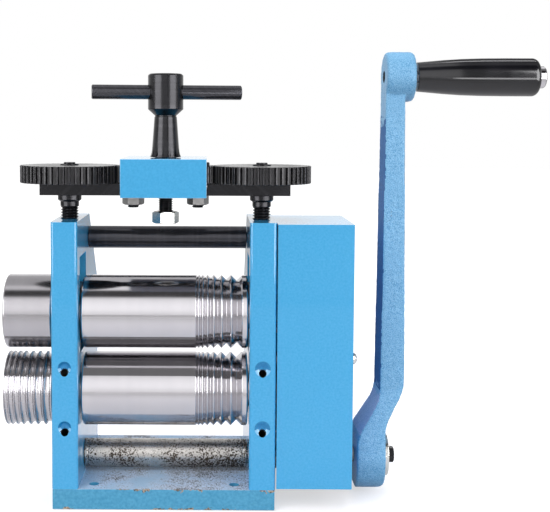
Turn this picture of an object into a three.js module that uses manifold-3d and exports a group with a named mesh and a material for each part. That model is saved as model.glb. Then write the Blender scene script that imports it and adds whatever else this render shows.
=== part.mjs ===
// Hand-cranked jewellers rolling mill with a geared pair of rolls and a T-handle roll adjustment.
// Millimetres, +Z up. The origin is the centre of the base plate's underside. X runs along the
// rolls with the crank at +X, and -Y is the side that the work is fed from.

import * as THREE from 'three';
import { mergeVertices } from 'three/addons/utils/BufferGeometryUtils.js';
import Module from 'manifold-3d';

const wasm = await Module();
wasm.setup();

// Clearances and cuts
const fit = 0.3;
const slideFit = 0.3;
const overrun = 2;

// Facets round a turned piece
const rollFacets = 30;
const rodFacets = 20;
const screwFacets = 10;
const arcSteps = 4;

// Frame: base plate and two uprights
const frameDepth = 126;
const baseStep = 0.4;
const baseThickness = 13.6;
const uprightSpacing = 113.4;
const uprightThickness = 17.5;
const uprightHeight = 178;
const uprightTopDepth = 73.5;
const uprightShoulderDrop = 53.6;
const uprightEdgeRound = 2;
const baseHoleRadius = 3.3;
const baseHoleSideEdge = 26.6;
const baseHoleFrontEdge = 11.3;

// Base screws, driven up into the uprights
const baseScrewRadius = 4;
const baseScrewHeadRadius = 6.5;
const baseScrewHeadHeight = 7;
const baseScrewLength = 24;
const baseScrewFrontEdge = 19;
const baseScrewRearEdge = 13;
const baseScrewRecess = 0.8;

// Rolls
const rollFrontEdge = 32;
const rollRise = 49;
const rollSpacing = 53.4;
const rollRadius = 25;
const rollPlayLeft = 1.2;
const rollPlayRight = 0.7;
const rollChamfer = 0.8;
const journalRadius = 12;
const gearSeatRadius = 10;
const gearSeatRunout = 1.4;
const vGrooveWidths = [1.8, 2.2, 2.9, 3.8, 4.9, 6, 7.3];
const vGrooveLand = 0.4;
const vGrooveEndLand = 3.7;
const vGrooveDepthShare = 0.5;

// Extension rolls, outside the left upright
const extensionGap = 1.1;
const extensionLength = 32.5;
const extensionSpigotRadius = 10;
const extensionSpigotLength = 24;
const extensionCounterbore = 9;
const extensionCounterboreDepth = 8;
const roundGrooveWidths = [2.4, 3.1, 3.3, 4.3, 4.3, 4.8, 5];
const roundGrooveLand = 0.6;
const roundGrooveEndLand = 0.9;
const roundGrooveDepthShare = 0.42;
const extensionScrewRadius = 4;
const extensionScrewLength = 16;
const extensionScrewHeadRadius = 7;
const extensionScrewHeadHeight = 5;

// Bearings
const lowerBushWall = 3.5;
const driveBushWall = 2.4;
const oilHoleRadius = 2.6;
const oilSinkRadius = 5.2;
const oilSinkDepth = 1.8;
const rollOilHoleRise = 20.6;
const driveOilHoleRise = 29.6;

// Sliding bearing blocks and the windows they run in
const windowWidth = 36.6;
const windowHeight = 65;
const windowSill = 25.8;
const blockHeight = 36;
const blockCornerCut = 1.5;
const springWire = 1.4;
const springRadius = 6.5;
const springCurls = 3;
const springPitch = 1.95;
const springStepsPerCurl = 8;
const springSides = 5;
const springGapLimit = 0.4;

// Drive shaft
const driveShift = 11.2;
const driveHeight = 25.4;
const driveShaftRadius = 9.9;
const driveJournalRadius = 7;
const driveSeatRadius = 5.2;
const driveShaftPlay = 0.6;
const shaftWasherRadius = 8.5;
const shaftWasherThickness = 1.6;
const shaftScrewRadius = 3;
const shaftScrewHeadRadius = 4.9;
const shaftScrewHeadHeight = 3.1;
const shaftScrewLength = 14;

// Reduction gears and the long-toothed pair that joins the rolls
const gearModule = 1.5;
const pinionTeeth = 12;
const idlerTeeth = 20;
const driveGearTeeth = 30;
const gearDedendum = 1.9;
const driveGearGap = 2;
const driveGearWidth = 12;
const idlerStudRadius = 5;
const idlerStudHeadRadius = 8;
const idlerStudHeadHeight = 2.4;
const idlerStudSink = 10;
const meshTeeth = 14;
const meshTipRadius = 29.8;
const meshRootRadius = 19.6;
const meshGearGap = 4;
const meshGearWidth = 20;

// Gear cover
const coverGap = 0.7;
const coverWidth = 50;
const coverSheet = 1.5;
const coverLift = 0.9;
const coverTopDrop = 1;
const coverShaftHole = 11;
const coverPostRadius = 4;
const frontPostReach = 25.5;
const rearPostEdge = 11;
const coverScrewRadius = 2;
const coverScrewHeadRadius = 3.9;
const coverScrewHeadHeight = 3;
const coverScrewLength = 10;

// Crank: a dogleg casting, its fixings and the turning grip
const crankBossRadius = 22.5;
const crankBossGap = 6.4;
const crankBossWidth = 21.5;
const crankArmOffset = 17.3;
const crankArmThickness = 17.2;
const crankArmTopThickness = 13;
const crankArmLean = 2;
const crankArmWidth = 28;
const crankArmTopWidth = 23.3;
const crankBendInnerStart = 16;
const crankBendInnerEnd = 42.5;
const crankBendOuterStart = 24;
const crankBendOuterEnd = 49;
const crankBendSoftness = 1.5;
const crankRadius = 263.2;
const topBossRadius = 17;
const topBossOffset = 2.1;
const topBossWidth = 21.9;
const crankWasherRadius = 14.5;
const crankWasherThickness = 2.4;
const crankBoltRadius = 3;
const crankBoltLength = 18;
const crankBoltFlats = 10;
const crankBoltHeadHeight = 3.6;
const spindleRadius = 4;
const spindleRecess = 1.5;
const spindleHeadRadius = 7.5;
const spindleHeadHeight = 4.8;
const gripLength = 84;
const gripInnerRadius = 10;
const gripOuterRadius = 13;
const gripEndRound = 6.5;
const gripEndShare = 0.8;

// Upper tie bar
const tieBarRadius = 8;
const tieBarSetback = 37.8;
const tieBarDrop = 16.6;
const tieScrewRadius = 4;
const tieScrewHeadRadius = 6.5;
const tieScrewHeadHeight = 7;
const tieScrewLength = 30;

// Bridge plate, gear housing and their screws
const bridgeClearance = 16.4;
const bridgeReach = 18.7;
const bridgeMargin = 5;
const bridgeThickness = 7.8;
const bridgeRecess = 3.2;
const housingWidth = 56;
const housingHeight = 25.2;
const housingWall = 4;
const housingGearGap = 0.55;
const housingRoof = 4.6;
const housingScrewRadius = 4;
const housingScrewHeadRadius = 7.5;
const housingScrewHeadHeight = 4;
const housingScrewSpacing = 44;
const housingScrewTail = 1.9;
const housingNutFlats = 13;
const housingNutHeight = 6.5;
const housingNutTurn = 4;

// Adjusting gears and pressure screws
const adjustTeeth = 50;
const adjustAddendum = 0.725;
const adjustDedendum = 1.125;
const adjustGearHeight = 11.8;
const adjustBossRadius = 6.25;
const adjustBossHeight = 0.8;
const adjustSeatRadius = 5;
const pressureScrewRadius = 6;
const pressureScrewTipRadius = 4.5;
const pressureScrewTipLength = 2;
const pressureCollarRadius = 8;
const pressureCollarHeight = 4.4;
const pressureHeadRadius = 3.85;
const pressureHeadHeight = 1.2;
const pressureSlotWidth = 1.2;
const pressureSlotDepth = 1;

// T-handle
const stemRadius = 4.9;
const stemLength = 18;
const stemSeatRadius = 7;
const stemFlareRadius = 10.5;
const stemFlareHeight = 1.8;
const stemLowerRadius = 9.2;
const stemUpperRadius = 7.6;
const stemConeHeight = 27.3;
const stemNeckRadius = 7.2;
const stemNeckHeight = 2.6;
const hubRadius = 12;
const hubChamfer = 1.1;
const hubHeight = 26.4;
const crossBarRadius = 4.9;
const crossBarLength = 104;
const crossBarShift = 1;
const crossBarLift = 0.8;
const crossBarTurn = 8;
const crossBarChamfer = 0.6;
const lockNutFlats = 16;
const lockNutHeight = 8.2;
const lockNutTail = 1.5;
const lockNutTurn = 8;

// Shares that shape a tooth: half its thickness from root to tip, as a share of the pitch
const pitchToothShares = [0.33, 0.205, 0.1];
const meshToothShares = [0.26, 0.155, 0.06];
const adjustToothShares = [0.32, 0.12];
const nutChamferShare = 0.12;

// Places worked out from the sizes above
const mirror = [-1, 1];
const halfInside = uprightSpacing / 2;
const outerFace = halfInside + uprightThickness;
const uprightMiddle = halfInside + uprightThickness / 2;
const baseWidth = 2 * (outerFace - baseStep);
const baseHoleX = baseWidth / 2 - baseHoleSideEdge;
const baseHoleY = frameDepth / 2 - baseHoleFrontEdge;
const frontY = -frameDepth / 2;
const rearY = frameDepth / 2;
const frameTop = baseThickness + uprightHeight;
const rollAxisY = frontY + rollFrontEdge;
const driveAxisY = rollAxisY + driveShift;
const tieBarY = rollAxisY + tieBarSetback;
const lowerRollHeight = driveHeight + rollRise;
const upperRollHeight = lowerRollHeight + rollSpacing;
const rollLeft = rollPlayLeft - halfInside;
const rollRight = halfInside - rollPlayRight;
const extensionRight = -outerFace - extensionGap;
const extensionLeft = extensionRight - extensionLength;
const windowBottom = upperRollHeight - windowSill;
const windowTop = windowBottom + windowHeight;
const blockTop = upperRollHeight + blockHeight / 2;
const driveGearStart = outerFace + driveGearGap;
const driveGearStop = driveGearStart + driveGearWidth;
const meshGearStart = driveGearStop + meshGearGap;
const gearSeatEnd = meshGearStart + meshGearWidth + gearSeatRunout;
const coverStart = outerFace + coverGap;
const coverEnd = coverStart + coverWidth;
const coverInside = coverEnd - coverSheet;
const crankBossStart = coverEnd + crankBossGap;
const crankArmStart = crankBossStart + crankArmOffset;
const topBossStart = crankArmStart + topBossOffset;
const driveShaftEnd = crankBossStart + crankBossWidth - fit;
const coverBottom = baseThickness + coverLift;
const bridgeBottom = frameTop + bridgeClearance;
const bridgeTop = bridgeBottom + bridgeThickness;
const housingTop = bridgeBottom + housingHeight;
const gearBottom = bridgeTop + fit;
const gearTop = gearBottom + adjustGearHeight;
const screwX = uprightMiddle;
const adjustPitchRadius = screwX / 2;
const adjustTipRadius = adjustPitchRadius + adjustAddendum;
const adjustRootRadius = adjustPitchRadius - adjustDedendum;
const bridgeLength = 2 * (screwX + bridgeReach);
const bridgeDepth = 2 * (housingScrewHeadRadius + bridgeMargin);
const housingDepth = 2 * (adjustTipRadius + housingGearGap + housingWall);
const gripAxisHeight = driveHeight + crankRadius;
const tieBarHeight = frameTop - tieBarDrop;

// Pitch circles of the reduction gears, and the idler's centre found from its two centre distances
const pitchRadius = (teeth) => (teeth * gearModule) / 2;
const idlerCentre = circleCrossing(
  new THREE.Vector2(driveAxisY, driveHeight),
  pitchRadius(pinionTeeth) + pitchRadius(idlerTeeth),
  new THREE.Vector2(rollAxisY, lowerRollHeight),
  pitchRadius(driveGearTeeth) + pitchRadius(idlerTeeth),
);

// Colours, taken from the photograph
const finish = (color, roughness, metalness) => (
  new THREE.MeshStandardMaterial({ color, roughness, metalness })
);
const bluePaint = finish(0x54b0e8, 0.35, 0);
const castBlue = finish(0x5fb8e2, 0.45, 0);
const blackOxide = finish(0x26262a, 0.45, 0.7);
const groundSteel = finish(0xb9bcc0, 0.2, 1);
const plainSteel = finish(0x8d8d8c, 0.4, 1);
const zincPlate = finish(0xc9c9c4, 0.3, 1);
const bearingBronze = finish(0xa9824a, 0.4, 1);
const castIron = finish(0x4a4b4d, 0.6, 0.8);
const blackGloss = finish(0x101012, 0.15, 0);
const springSteel = finish(0x6f7276, 0.35, 1);

// Point where two circles meet, on the side of larger first coordinate
function circleCrossing(first, firstRadius, second, secondRadius) {
  const between = second.clone().sub(first);
  const distance = between.length();
  const along = (distance ** 2 + firstRadius ** 2 - secondRadius ** 2) / (2 * distance);
  const across = Math.sqrt(firstRadius ** 2 - along ** 2);
  const unit = between.divideScalar(distance);
  return first.clone().addScaledVector(unit, along).add(
    new THREE.Vector2(unit.y, -unit.x).multiplyScalar(across),
  );
}

// Signed volume of a closed triangle mesh
function signedVolume(points, triangles) {
  const [a, b, c] = [new THREE.Vector3(), new THREE.Vector3(), new THREE.Vector3()];
  let total = 0;
  for (let i = 0; i < triangles.length; i += 3) {
    a.fromArray(points, triangles[i] * 3);
    b.fromArray(points, triangles[i + 1] * 3);
    c.fromArray(points, triangles[i + 2] * 3);
    total += a.dot(b.cross(c)) / 6;
  }
  return total;
}

// A closed solid from a geometry: corners merged, flat triangles dropped, faces turned outwards
function solid(geometry) {
  const bare = geometry.clone();
  bare.deleteAttribute('normal');
  bare.deleteAttribute('uv');
  const merged = mergeVertices(bare);
  const points = Float32Array.from(merged.getAttribute('position').array);
  const index = merged.getIndex().array;
  const triangles = [];
  for (let i = 0; i < index.length; i += 3) {
    const [a, b, c] = index.slice(i, i + 3);
    if (a !== b && b !== c && c !== a) triangles.push(a, b, c);
  }
  if (signedVolume(points, triangles) < 0) triangles.reverse();
  const triVerts = Uint32Array.from(triangles);
  return new wasm.Manifold(new wasm.Mesh({ numProp: 3, vertProperties: points, triVerts }));
}

// The geometry of a solid
function geometryOf(shape) {
  const { vertProperties, triVerts } = shape.getMesh();
  const geometry = new THREE.BufferGeometry();
  geometry.setAttribute('position', new THREE.BufferAttribute(Float32Array.from(vertProperties), 3));
  geometry.setIndex(new THREE.BufferAttribute(Uint32Array.from(triVerts), 1));
  geometry.computeVertexNormals();
  return geometry;
}

// A named piece of the mill
function piece(name, shape, material, x = 0, y = 0, z = 0) {
  const mesh = new THREE.Mesh(geometryOf(shape), material);
  mesh.name = name;
  mesh.position.set(x, y, z);
  return mesh;
}

// Box between two corners
function box(low, high) {
  const size = high.map((value, i) => value - low[i]);
  const geometry = new THREE.BoxGeometry(...size);
  geometry.translate(...low.map((value, i) => value + size[i] / 2));
  return solid(geometry);
}

// Turned geometry about an axis: stations are pairs of a place on the axis and a radius
function turnedGeometry(axis, stations, facets) {
  const profile = stations.map(([along, radius]) => new THREE.Vector2(radius, along));
  profile.unshift(new THREE.Vector2(0, stations[0][0]));
  profile.push(new THREE.Vector2(0, stations.at(-1)[0]));
  const geometry = new THREE.LatheGeometry(profile, facets);
  if (axis === 'x') geometry.rotateZ(-Math.PI / 2);
  if (axis === 'z') geometry.rotateX(Math.PI / 2);
  return geometry;
}

// Turned solid whose axis is parallel to X, Y or Z and passes through a point
function turned(axis, stations, facets = rodFacets, [x, y, z] = [0, 0, 0]) {
  return solid(turnedGeometry(axis, stations, facets).translate(x, y, z));
}

// Plain rod between two places on its axis
function rod(axis, from, to, radius, facets = rodFacets, through = [0, 0, 0]) {
  return turned(axis, [[from, radius], [to, radius]], facets, through);
}

// Rod with both end edges chamfered
function chamferedRod(axis, from, to, radius, chamfer, facets = rodFacets) {
  return turned(axis, [
    [from, radius - chamfer], [from + chamfer, radius],
    [to - chamfer, radius], [to, radius - chamfer],
  ], facets);
}

// Solid of a flat outline in Y and Z, pushed along X
function alongX(shape, from, to) {
  const geometry = new THREE.ExtrudeGeometry(shape, { depth: to - from, bevelEnabled: false });
  geometry.applyMatrix4(new THREE.Matrix4().makeBasis(
    new THREE.Vector3(0, 1, 0), new THREE.Vector3(0, 0, 1), new THREE.Vector3(1, 0, 0),
  ));
  geometry.translate(from, 0, 0);
  return solid(geometry);
}

// Solid of a flat outline in X and Y, pushed up Z
function alongZ(shape, from, to) {
  const settings = { depth: to - from, bevelEnabled: false, curveSegments: arcSteps };
  const geometry = new THREE.ExtrudeGeometry(shape, settings);
  geometry.translate(0, 0, from);
  return solid(geometry);
}

// Solid of a flat outline in X and Z, pushed along Y
function alongY(shape, from, to) {
  const geometry = new THREE.ExtrudeGeometry(shape, { depth: to - from, bevelEnabled: false });
  geometry.rotateX(Math.PI / 2);
  geometry.translate(0, to, 0);
  return solid(geometry);
}

// Outline through a list of corners
function outline(corners) {
  return new THREE.Shape(corners.map(([a, b]) => new THREE.Vector2(a, b)));
}

// Regular hexagon about the origin, by its distance across flats
function hexagon(flats, turn) {
  const corner = flats / Math.sqrt(3);
  const corners = [0, 1, 2, 3, 4, 5].map((i) => {
    const angle = (i * Math.PI) / 3 + THREE.MathUtils.degToRad(turn);
    return [corner * Math.cos(angle), corner * Math.sin(angle)];
  });
  return outline(corners);
}

// Hexagonal prism with turned-off corners, about Z
function hexPrism(flats, height, turn) {
  const corner = flats / Math.sqrt(3);
  const chamfer = flats * nutChamferShare;
  const turnedCorners = turned('z', [
    [0, corner - chamfer], [chamfer / 2, corner],
    [height - chamfer / 2, corner], [height, corner - chamfer],
  ], screwFacets);
  return alongZ(hexagon(flats, turn), 0, height).intersect(turnedCorners);
}

// Gear outline: the points of each flank lie evenly between the root and the tip
function gearOutline(teeth, rootRadius, tipRadius, shares) {
  const rise = (tipRadius - rootRadius) / (shares.length - 1);
  const radii = shares.map((share, i) => rootRadius + i * rise);
  const pitch = (2 * Math.PI) / teeth;
  const corners = [];
  for (let tooth = 0; tooth < teeth; tooth += 1) {
    const rising = radii.map((radius, i) => [radius, (tooth - shares[i]) * pitch]);
    const falling = radii.map((radius, i) => [radius, (tooth + shares[i]) * pitch]).reverse();
    for (const [radius, angle] of [...rising, ...falling]) {
      corners.push([radius * Math.cos(angle), radius * Math.sin(angle)]);
    }
  }
  return outline(corners);
}

// Root and tip radii of a reduction gear, with working clearance at the tips
function reductionRadii(teeth) {
  return [pitchRadius(teeth) - gearDedendum, pitchRadius(teeth) + gearModule - fit / 2];
}

// The base plate, with four bench holes and recesses for the screws under the uprights
function basePlate() {
  let plate = box([-baseWidth / 2, frontY, 0], [baseWidth / 2, -frontY, baseThickness]);
  const past = baseThickness + overrun;
  for (const sideX of mirror) {
    for (const sideY of mirror) {
      const place = [sideX * baseHoleX, sideY * baseHoleY, 0];
      plate = plate.subtract(rod('z', -overrun, past, baseHoleRadius, screwFacets, place));
    }
  }
  for (const place of baseScrewPlaces()) {
    const ledge = baseScrewRecess + baseScrewHeadHeight + fit;
    plate = plate.subtract(turned('z', [
      [-overrun, baseScrewHeadRadius + fit], [ledge, baseScrewHeadRadius + fit],
      [ledge, baseScrewRadius + fit], [past, baseScrewRadius + fit],
    ], screwFacets, place));
  }
  return plate;
}

// Centres of the four base screws
function baseScrewPlaces() {
  const places = [frontY + baseScrewFrontEdge, rearY - baseScrewRearEdge];
  return mirror.flatMap((side) => places.map((y) => [side * uprightMiddle, y, 0]));
}

// One cap screw under the base
function baseScrew() {
  const ledge = baseScrewRecess + baseScrewHeadHeight;
  return turned('z', [
    [baseScrewRecess, baseScrewHeadRadius], [ledge, baseScrewHeadRadius],
    [ledge, baseScrewRadius], [ledge + baseScrewLength, baseScrewRadius],
  ], screwFacets);
}

// Side outline shared by the uprights and the gear cover, drawn in by an inset
function sideOutline(bottom, top, inset) {
  const cornerY = frontY + uprightTopDepth;
  const backY = rearY - inset;
  const slope = uprightShoulderDrop / (frameDepth - uprightTopDepth);
  const drawnIn = inset * Math.sqrt(1 + slope ** 2);
  return outline([
    [frontY + inset, bottom], [backY, bottom],
    [backY, frameTop - slope * (backY - cornerY) - drawnIn],
    [cornerY + (frameTop - top - drawnIn) / slope, top],
    [frontY + inset, top],
  ]);
}

// Plan of an upright between two faces, with its two front edges rounded
function uprightPlan(low, high) {
  const turn = Math.PI / 2;
  const centreY = frontY + uprightEdgeRound;
  const plan = new THREE.Shape();
  plan.moveTo(low, overrun - frontY);
  plan.lineTo(low, centreY);
  plan.absarc(low + uprightEdgeRound, centreY, uprightEdgeRound, 2 * turn, 3 * turn, false);
  plan.absarc(high - uprightEdgeRound, centreY, uprightEdgeRound, 3 * turn, 4 * turn, false);
  plan.lineTo(high, overrun - frontY);
  return plan;
}

// Oil hole: a countersink in the front face and a bore slanting down to a journal
function oilHole(x, journalY, journalZ, rise) {
  const mouth = [x, frontY, journalZ + rise];
  const sink = turned('y', [
    [-overrun, oilSinkRadius], [0, oilSinkRadius], [oilSinkDepth, oilHoleRadius],
  ], screwFacets, mouth);
  const start = new THREE.Vector3(x, frontY, journalZ + rise - oilSinkRadius + oilHoleRadius);
  const run = new THREE.Vector3(x, journalY, journalZ).sub(start);
  const length = run.length();
  const bore = turnedGeometry('y', [[0, oilHoleRadius], [length, oilHoleRadius]], screwFacets);
  const up = new THREE.Vector3(0, 1, 0);
  bore.applyQuaternion(new THREE.Quaternion().setFromUnitVectors(up, run.normalize()));
  bore.translate(start.x, start.y, start.z);
  return sink.add(solid(bore));
}

// Seats cut in the outer face of an upright for the tie bar's cap screw
function tieScrewSeat(side) {
  const ledge = outerFace - tieScrewHeadHeight - fit;
  const stations = [
    [halfInside - overrun, tieScrewRadius + fit], [ledge, tieScrewRadius + fit],
    [ledge, tieScrewHeadRadius + fit], [outerFace + overrun, tieScrewHeadRadius + fit],
  ];
  return turned('x', facing(side, stations), screwFacets, [0, tieBarY, tieBarHeight]);
}

// Stations along X, turned round for the left side
function facing(side, stations) {
  if (side > 0) return stations;
  return stations.map(([along, radius]) => [-along, radius]).reverse();
}

// Upright with its bearing window, bores and screw holes
function upright(side) {
  const [low, high] = [side * halfInside, side * outerFace].sort((a, b) => a - b);
  const [before, past] = [low - overrun, high + overrun];
  const middle = side * uprightMiddle;
  const halfWindow = windowWidth / 2;
  const rollBore = journalRadius + lowerBushWall + 2 * fit;
  const driveBore = driveJournalRadius + driveBushWall + 2 * fit;
  const screwBore = pressureScrewRadius + fit;
  const baseBore = baseScrewRadius + fit;
  const baseBoreTop = baseScrewRecess + baseScrewHeadHeight + baseScrewLength + fit;
  const cuts = [
    box([before, rollAxisY - halfWindow, windowBottom], [past, rollAxisY + halfWindow, windowTop]),
    rod('x', before, past, rollBore, rollFacets, [0, rollAxisY, lowerRollHeight]),
    rod('x', before, past, driveBore, rodFacets, [0, driveAxisY, driveHeight]),
    rod('z', windowTop - overrun, frameTop + overrun, screwBore, rodFacets, [middle, rollAxisY, 0]),
    oilHole(middle, rollAxisY, lowerRollHeight, rollOilHoleRise),
    oilHole(middle, driveAxisY, driveHeight, driveOilHoleRise),
    tieScrewSeat(side),
  ];
  for (const [x, y] of baseScrewPlaces()) {
    cuts.push(rod('z', baseThickness - overrun, baseBoreTop, baseBore, screwFacets, [x, y, 0]));
  }
  if (side > 0) cuts.push(...rightUprightHoles());
  const block = alongX(sideOutline(baseThickness, frameTop, 0), low, high)
    .intersect(alongZ(uprightPlan(low, high), -overrun, frameTop + overrun));
  return cuts.reduce((body, cut) => body.subtract(cut), block);
}

// Holes that only the right upright has: for the idler's stud and the cover's posts
function rightUprightHoles() {
  const stud = rod(
    'x', outerFace - idlerStudSink - fit, outerFace + overrun, idlerStudRadius + fit, screwFacets,
    [0, idlerCentre.x, idlerCentre.y],
  );
  const posts = coverPostPlaces().map(([y, z]) => rod(
    'x', outerFace - coverScrewLength, outerFace + overrun, coverScrewRadius + fit, screwFacets,
    [0, y, z],
  ));
  return [stud, ...posts];
}

// Bush: a plain sleeve through an upright, about X
function bush(side, journal, wall) {
  const [low, high] = [side * halfInside, side * outerFace].sort((a, b) => a - b);
  return rod('x', low, high, journal + fit + wall, rollFacets)
    .subtract(rod('x', low - overrun, high + overrun, journal + fit, rollFacets));
}

// Cap screw that holds the tie bar from outside an upright
function tieBarScrew(side) {
  const ledge = outerFace - tieScrewHeadHeight;
  return turned('x', facing(side, [
    [ledge - tieScrewLength, tieScrewRadius], [ledge, tieScrewRadius],
    [ledge, tieScrewHeadRadius], [outerFace, tieScrewHeadRadius],
  ]), screwFacets);
}

// Round bar that ties the uprights together at the top, tapped at both ends
function upperTieBar() {
  const end = halfInside - fit;
  const tapped = tieScrewLength - (outerFace - tieScrewHeadHeight - end) + fit;
  const bar = rod('x', -end, end, tieBarRadius);
  return mirror.reduce((body, side) => body.subtract(turned('x', facing(side, [
    [end - tapped, tieScrewRadius + fit], [end + overrun, tieScrewRadius + fit],
  ]), screwFacets)), bar);
}

// Stations of a row of grooves cut into a roll, left to right, and where the row ends
function grooveStations(start, radius, widths, land, section) {
  const stations = [];
  let left = start;
  for (const width of widths) {
    for (const [across, down] of section) {
      stations.push([left + width * across, radius - width * down]);
    }
    left += width + land;
  }
  return stations;
}

// Sections of one groove, as shares of its width
const vSection = [[0, 0], [0.5, vGrooveDepthShare], [1, 0]];
const roundSection = [0, 1, 2, 3].map((i) => (
  [(1 - Math.cos((i * Math.PI) / 3)) / 2, Math.sin((i * Math.PI) / 3) * roundGrooveDepthShare]
));

// Total length of a row of grooves
function grooveRow(widths, land) {
  return widths.reduce((sum, width) => sum + width, 0) + land * (widths.length - 1);
}

// Stations of the working part of a roll, with its row of V grooves at the right
function rollBody() {
  const grooves = rollRight - vGrooveEndLand - grooveRow(vGrooveWidths, vGrooveLand);
  return [
    [rollLeft, rollRadius - rollChamfer], [rollLeft + rollChamfer, rollRadius],
    ...grooveStations(grooves, rollRadius, vGrooveWidths, vGrooveLand, vSection),
    [rollRight - rollChamfer, rollRadius], [rollRight, rollRadius - rollChamfer],
  ];
}

// A roll with its journals, a spigot for the extension roll and a seat for its gears
function roll(seatStart) {
  const spigotStart = extensionRight + fit;
  const shape = turned('x', [
    [extensionRight - extensionSpigotLength, extensionSpigotRadius],
    [spigotStart, extensionSpigotRadius], [spigotStart, journalRadius],
    [rollLeft, journalRadius], ...rollBody(), [rollRight, journalRadius],
    [seatStart, journalRadius], [seatStart, gearSeatRadius], [gearSeatEnd, gearSeatRadius],
  ], rollFacets);
  const tapped = extensionRight - extensionSpigotLength;
  return shape.subtract(rod(
    'x', tapped - overrun, tapped + extensionScrewLength, extensionScrewRadius + fit, screwFacets,
  ));
}

// Stations of the outside of the plain extension roll
function plainExtensionStations() {
  return [
    [extensionLeft, rollRadius - rollChamfer], [extensionLeft + rollChamfer, rollRadius],
    [extensionRight - rollChamfer, rollRadius], [extensionRight, rollRadius - rollChamfer],
  ];
}

// Stations of the outside of the extension roll that has half-round wire grooves
function groovedExtensionStations() {
  const start = extensionRight - roundGrooveEndLand - grooveRow(roundGrooveWidths, roundGrooveLand);
  return [
    [extensionLeft, rollRadius],
    ...grooveStations(start, rollRadius, roundGrooveWidths, roundGrooveLand, roundSection),
    [extensionRight, rollRadius],
  ];
}

// Extension roll: bored for the spigot and counterbored for its screw
function extensionRoll(stations) {
  const seat = extensionLeft + extensionCounterboreDepth;
  const spigotEnd = extensionRight - extensionSpigotLength - fit;
  return turned('x', stations, rollFacets).subtract(turned('x', [
    [extensionLeft - overrun, extensionCounterbore], [seat, extensionCounterbore],
    [seat, extensionScrewRadius + fit], [spigotEnd, extensionScrewRadius + fit],
    [spigotEnd, extensionSpigotRadius + fit], [extensionRight + overrun, extensionSpigotRadius + fit],
  ], rodFacets));
}

// Screw that holds an extension roll on its spigot
function extensionScrew() {
  const seat = extensionLeft + extensionCounterboreDepth - fit;
  const tip = extensionRight - extensionSpigotLength + extensionScrewLength - fit;
  return turned('x', [
    [seat - extensionScrewHeadHeight, extensionScrewHeadRadius], [seat, extensionScrewHeadRadius],
    [seat, extensionScrewRadius], [tip, extensionScrewRadius],
  ], screwFacets);
}

// Sliding bearing block of the upper roll, built about the roll's axis
function bearingBlock(side) {
  const [low, high] = [side * (halfInside + fit), side * (outerFace - fit)].sort((a, b) => a - b);
  const halfWidth = windowWidth / 2 - slideFit;
  const half = blockHeight / 2;
  const cut = blockCornerCut;
  const shape = outline([
    [cut - halfWidth, -half], [halfWidth - cut, -half], [halfWidth, cut - half],
    [halfWidth, half - cut], [halfWidth - cut, half], [cut - halfWidth, half],
    [-halfWidth, half - cut], [-halfWidth, cut - half],
  ]);
  return alongX(shape, low, high)
    .subtract(rod('x', low - overrun, high + overrun, journalRadius + fit, rollFacets));
}

// Points along the middle of a lift spring, from its seat upwards
function springLine() {
  const steps = springCurls * springStepsPerCurl;
  return Array.from({ length: steps + 1 }, (_, i) => {
    const angle = (i * 2 * Math.PI) / springStepsPerCurl;
    const height = (i * springPitch) / springStepsPerCurl;
    return new THREE.Vector3(springRadius * Math.cos(angle), springRadius * Math.sin(angle), height);
  });
}

// Least gap between a spring's curls: between points that are at least half a curl apart
function springGap(line) {
  let least = Infinity;
  line.forEach((point, i) => {
    for (const other of line.slice(i + springStepsPerCurl / 2)) {
      least = Math.min(least, point.distanceTo(other) - springWire);
    }
  });
  return least;
}

// Lift spring: one unbroken tube that climbs in curls
function liftSpring() {
  const line = springLine();
  const points = [];
  const triangles = [];
  line.forEach((centre, ring) => {
    const out = new THREE.Vector3(centre.x, centre.y, 0).normalize();
    for (let side = 0; side < springSides; side += 1) {
      const angle = (side * 2 * Math.PI) / springSides;
      const point = centre.clone().addScaledVector(out, (springWire / 2) * Math.cos(angle));
      points.push(point.x, point.y, point.z + (springWire / 2) * Math.sin(angle));
      const next = (side + 1) % springSides;
      if (ring < line.length - 1) {
        const [a, b] = [ring * springSides + side, ring * springSides + next];
        const [c, d] = [a + springSides, b + springSides];
        triangles.push(a, b, d, a, d, c);
      }
    }
  });
  const last = (line.length - 1) * springSides;
  for (let side = 1; side < springSides - 1; side += 1) {
    triangles.push(0, side + 1, side, last, last + side, last + side + 1);
  }
  const geometry = new THREE.BufferGeometry();
  geometry.setAttribute('position', new THREE.Float32BufferAttribute(points, 3));
  geometry.setIndex(triangles);
  return solid(geometry);
}

// Drive shaft: thick between the uprights, with long journals and a tapped left end
function driveShaft() {
  const body = halfInside - driveShaftPlay;
  const left = -outerFace - fit;
  const tapped = left + shaftScrewLength + fit;
  const shape = turned('x', [
    [left, driveJournalRadius], [-body, driveJournalRadius], [-body, driveShaftRadius],
    [body, driveShaftRadius], [body, driveJournalRadius],
    [driveGearStart - fit, driveJournalRadius], [driveGearStart - fit, driveSeatRadius],
    [driveShaftEnd, driveSeatRadius],
  ]);
  const bolt = driveShaftEnd - crankBoltLength - fit;
  return shape
    .subtract(rod('x', left - overrun, tapped, shaftScrewRadius + fit, screwFacets))
    .subtract(rod('x', bolt, driveShaftEnd + overrun, crankBoltRadius + fit, screwFacets));
}

// Washer on the drive shaft's left end
function shaftWasher() {
  const right = -outerFace - 2 * fit;
  const left = right - shaftWasherThickness;
  return rod('x', left, right, shaftWasherRadius)
    .subtract(rod('x', left - overrun, right + overrun, shaftScrewRadius + fit, screwFacets));
}

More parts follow.
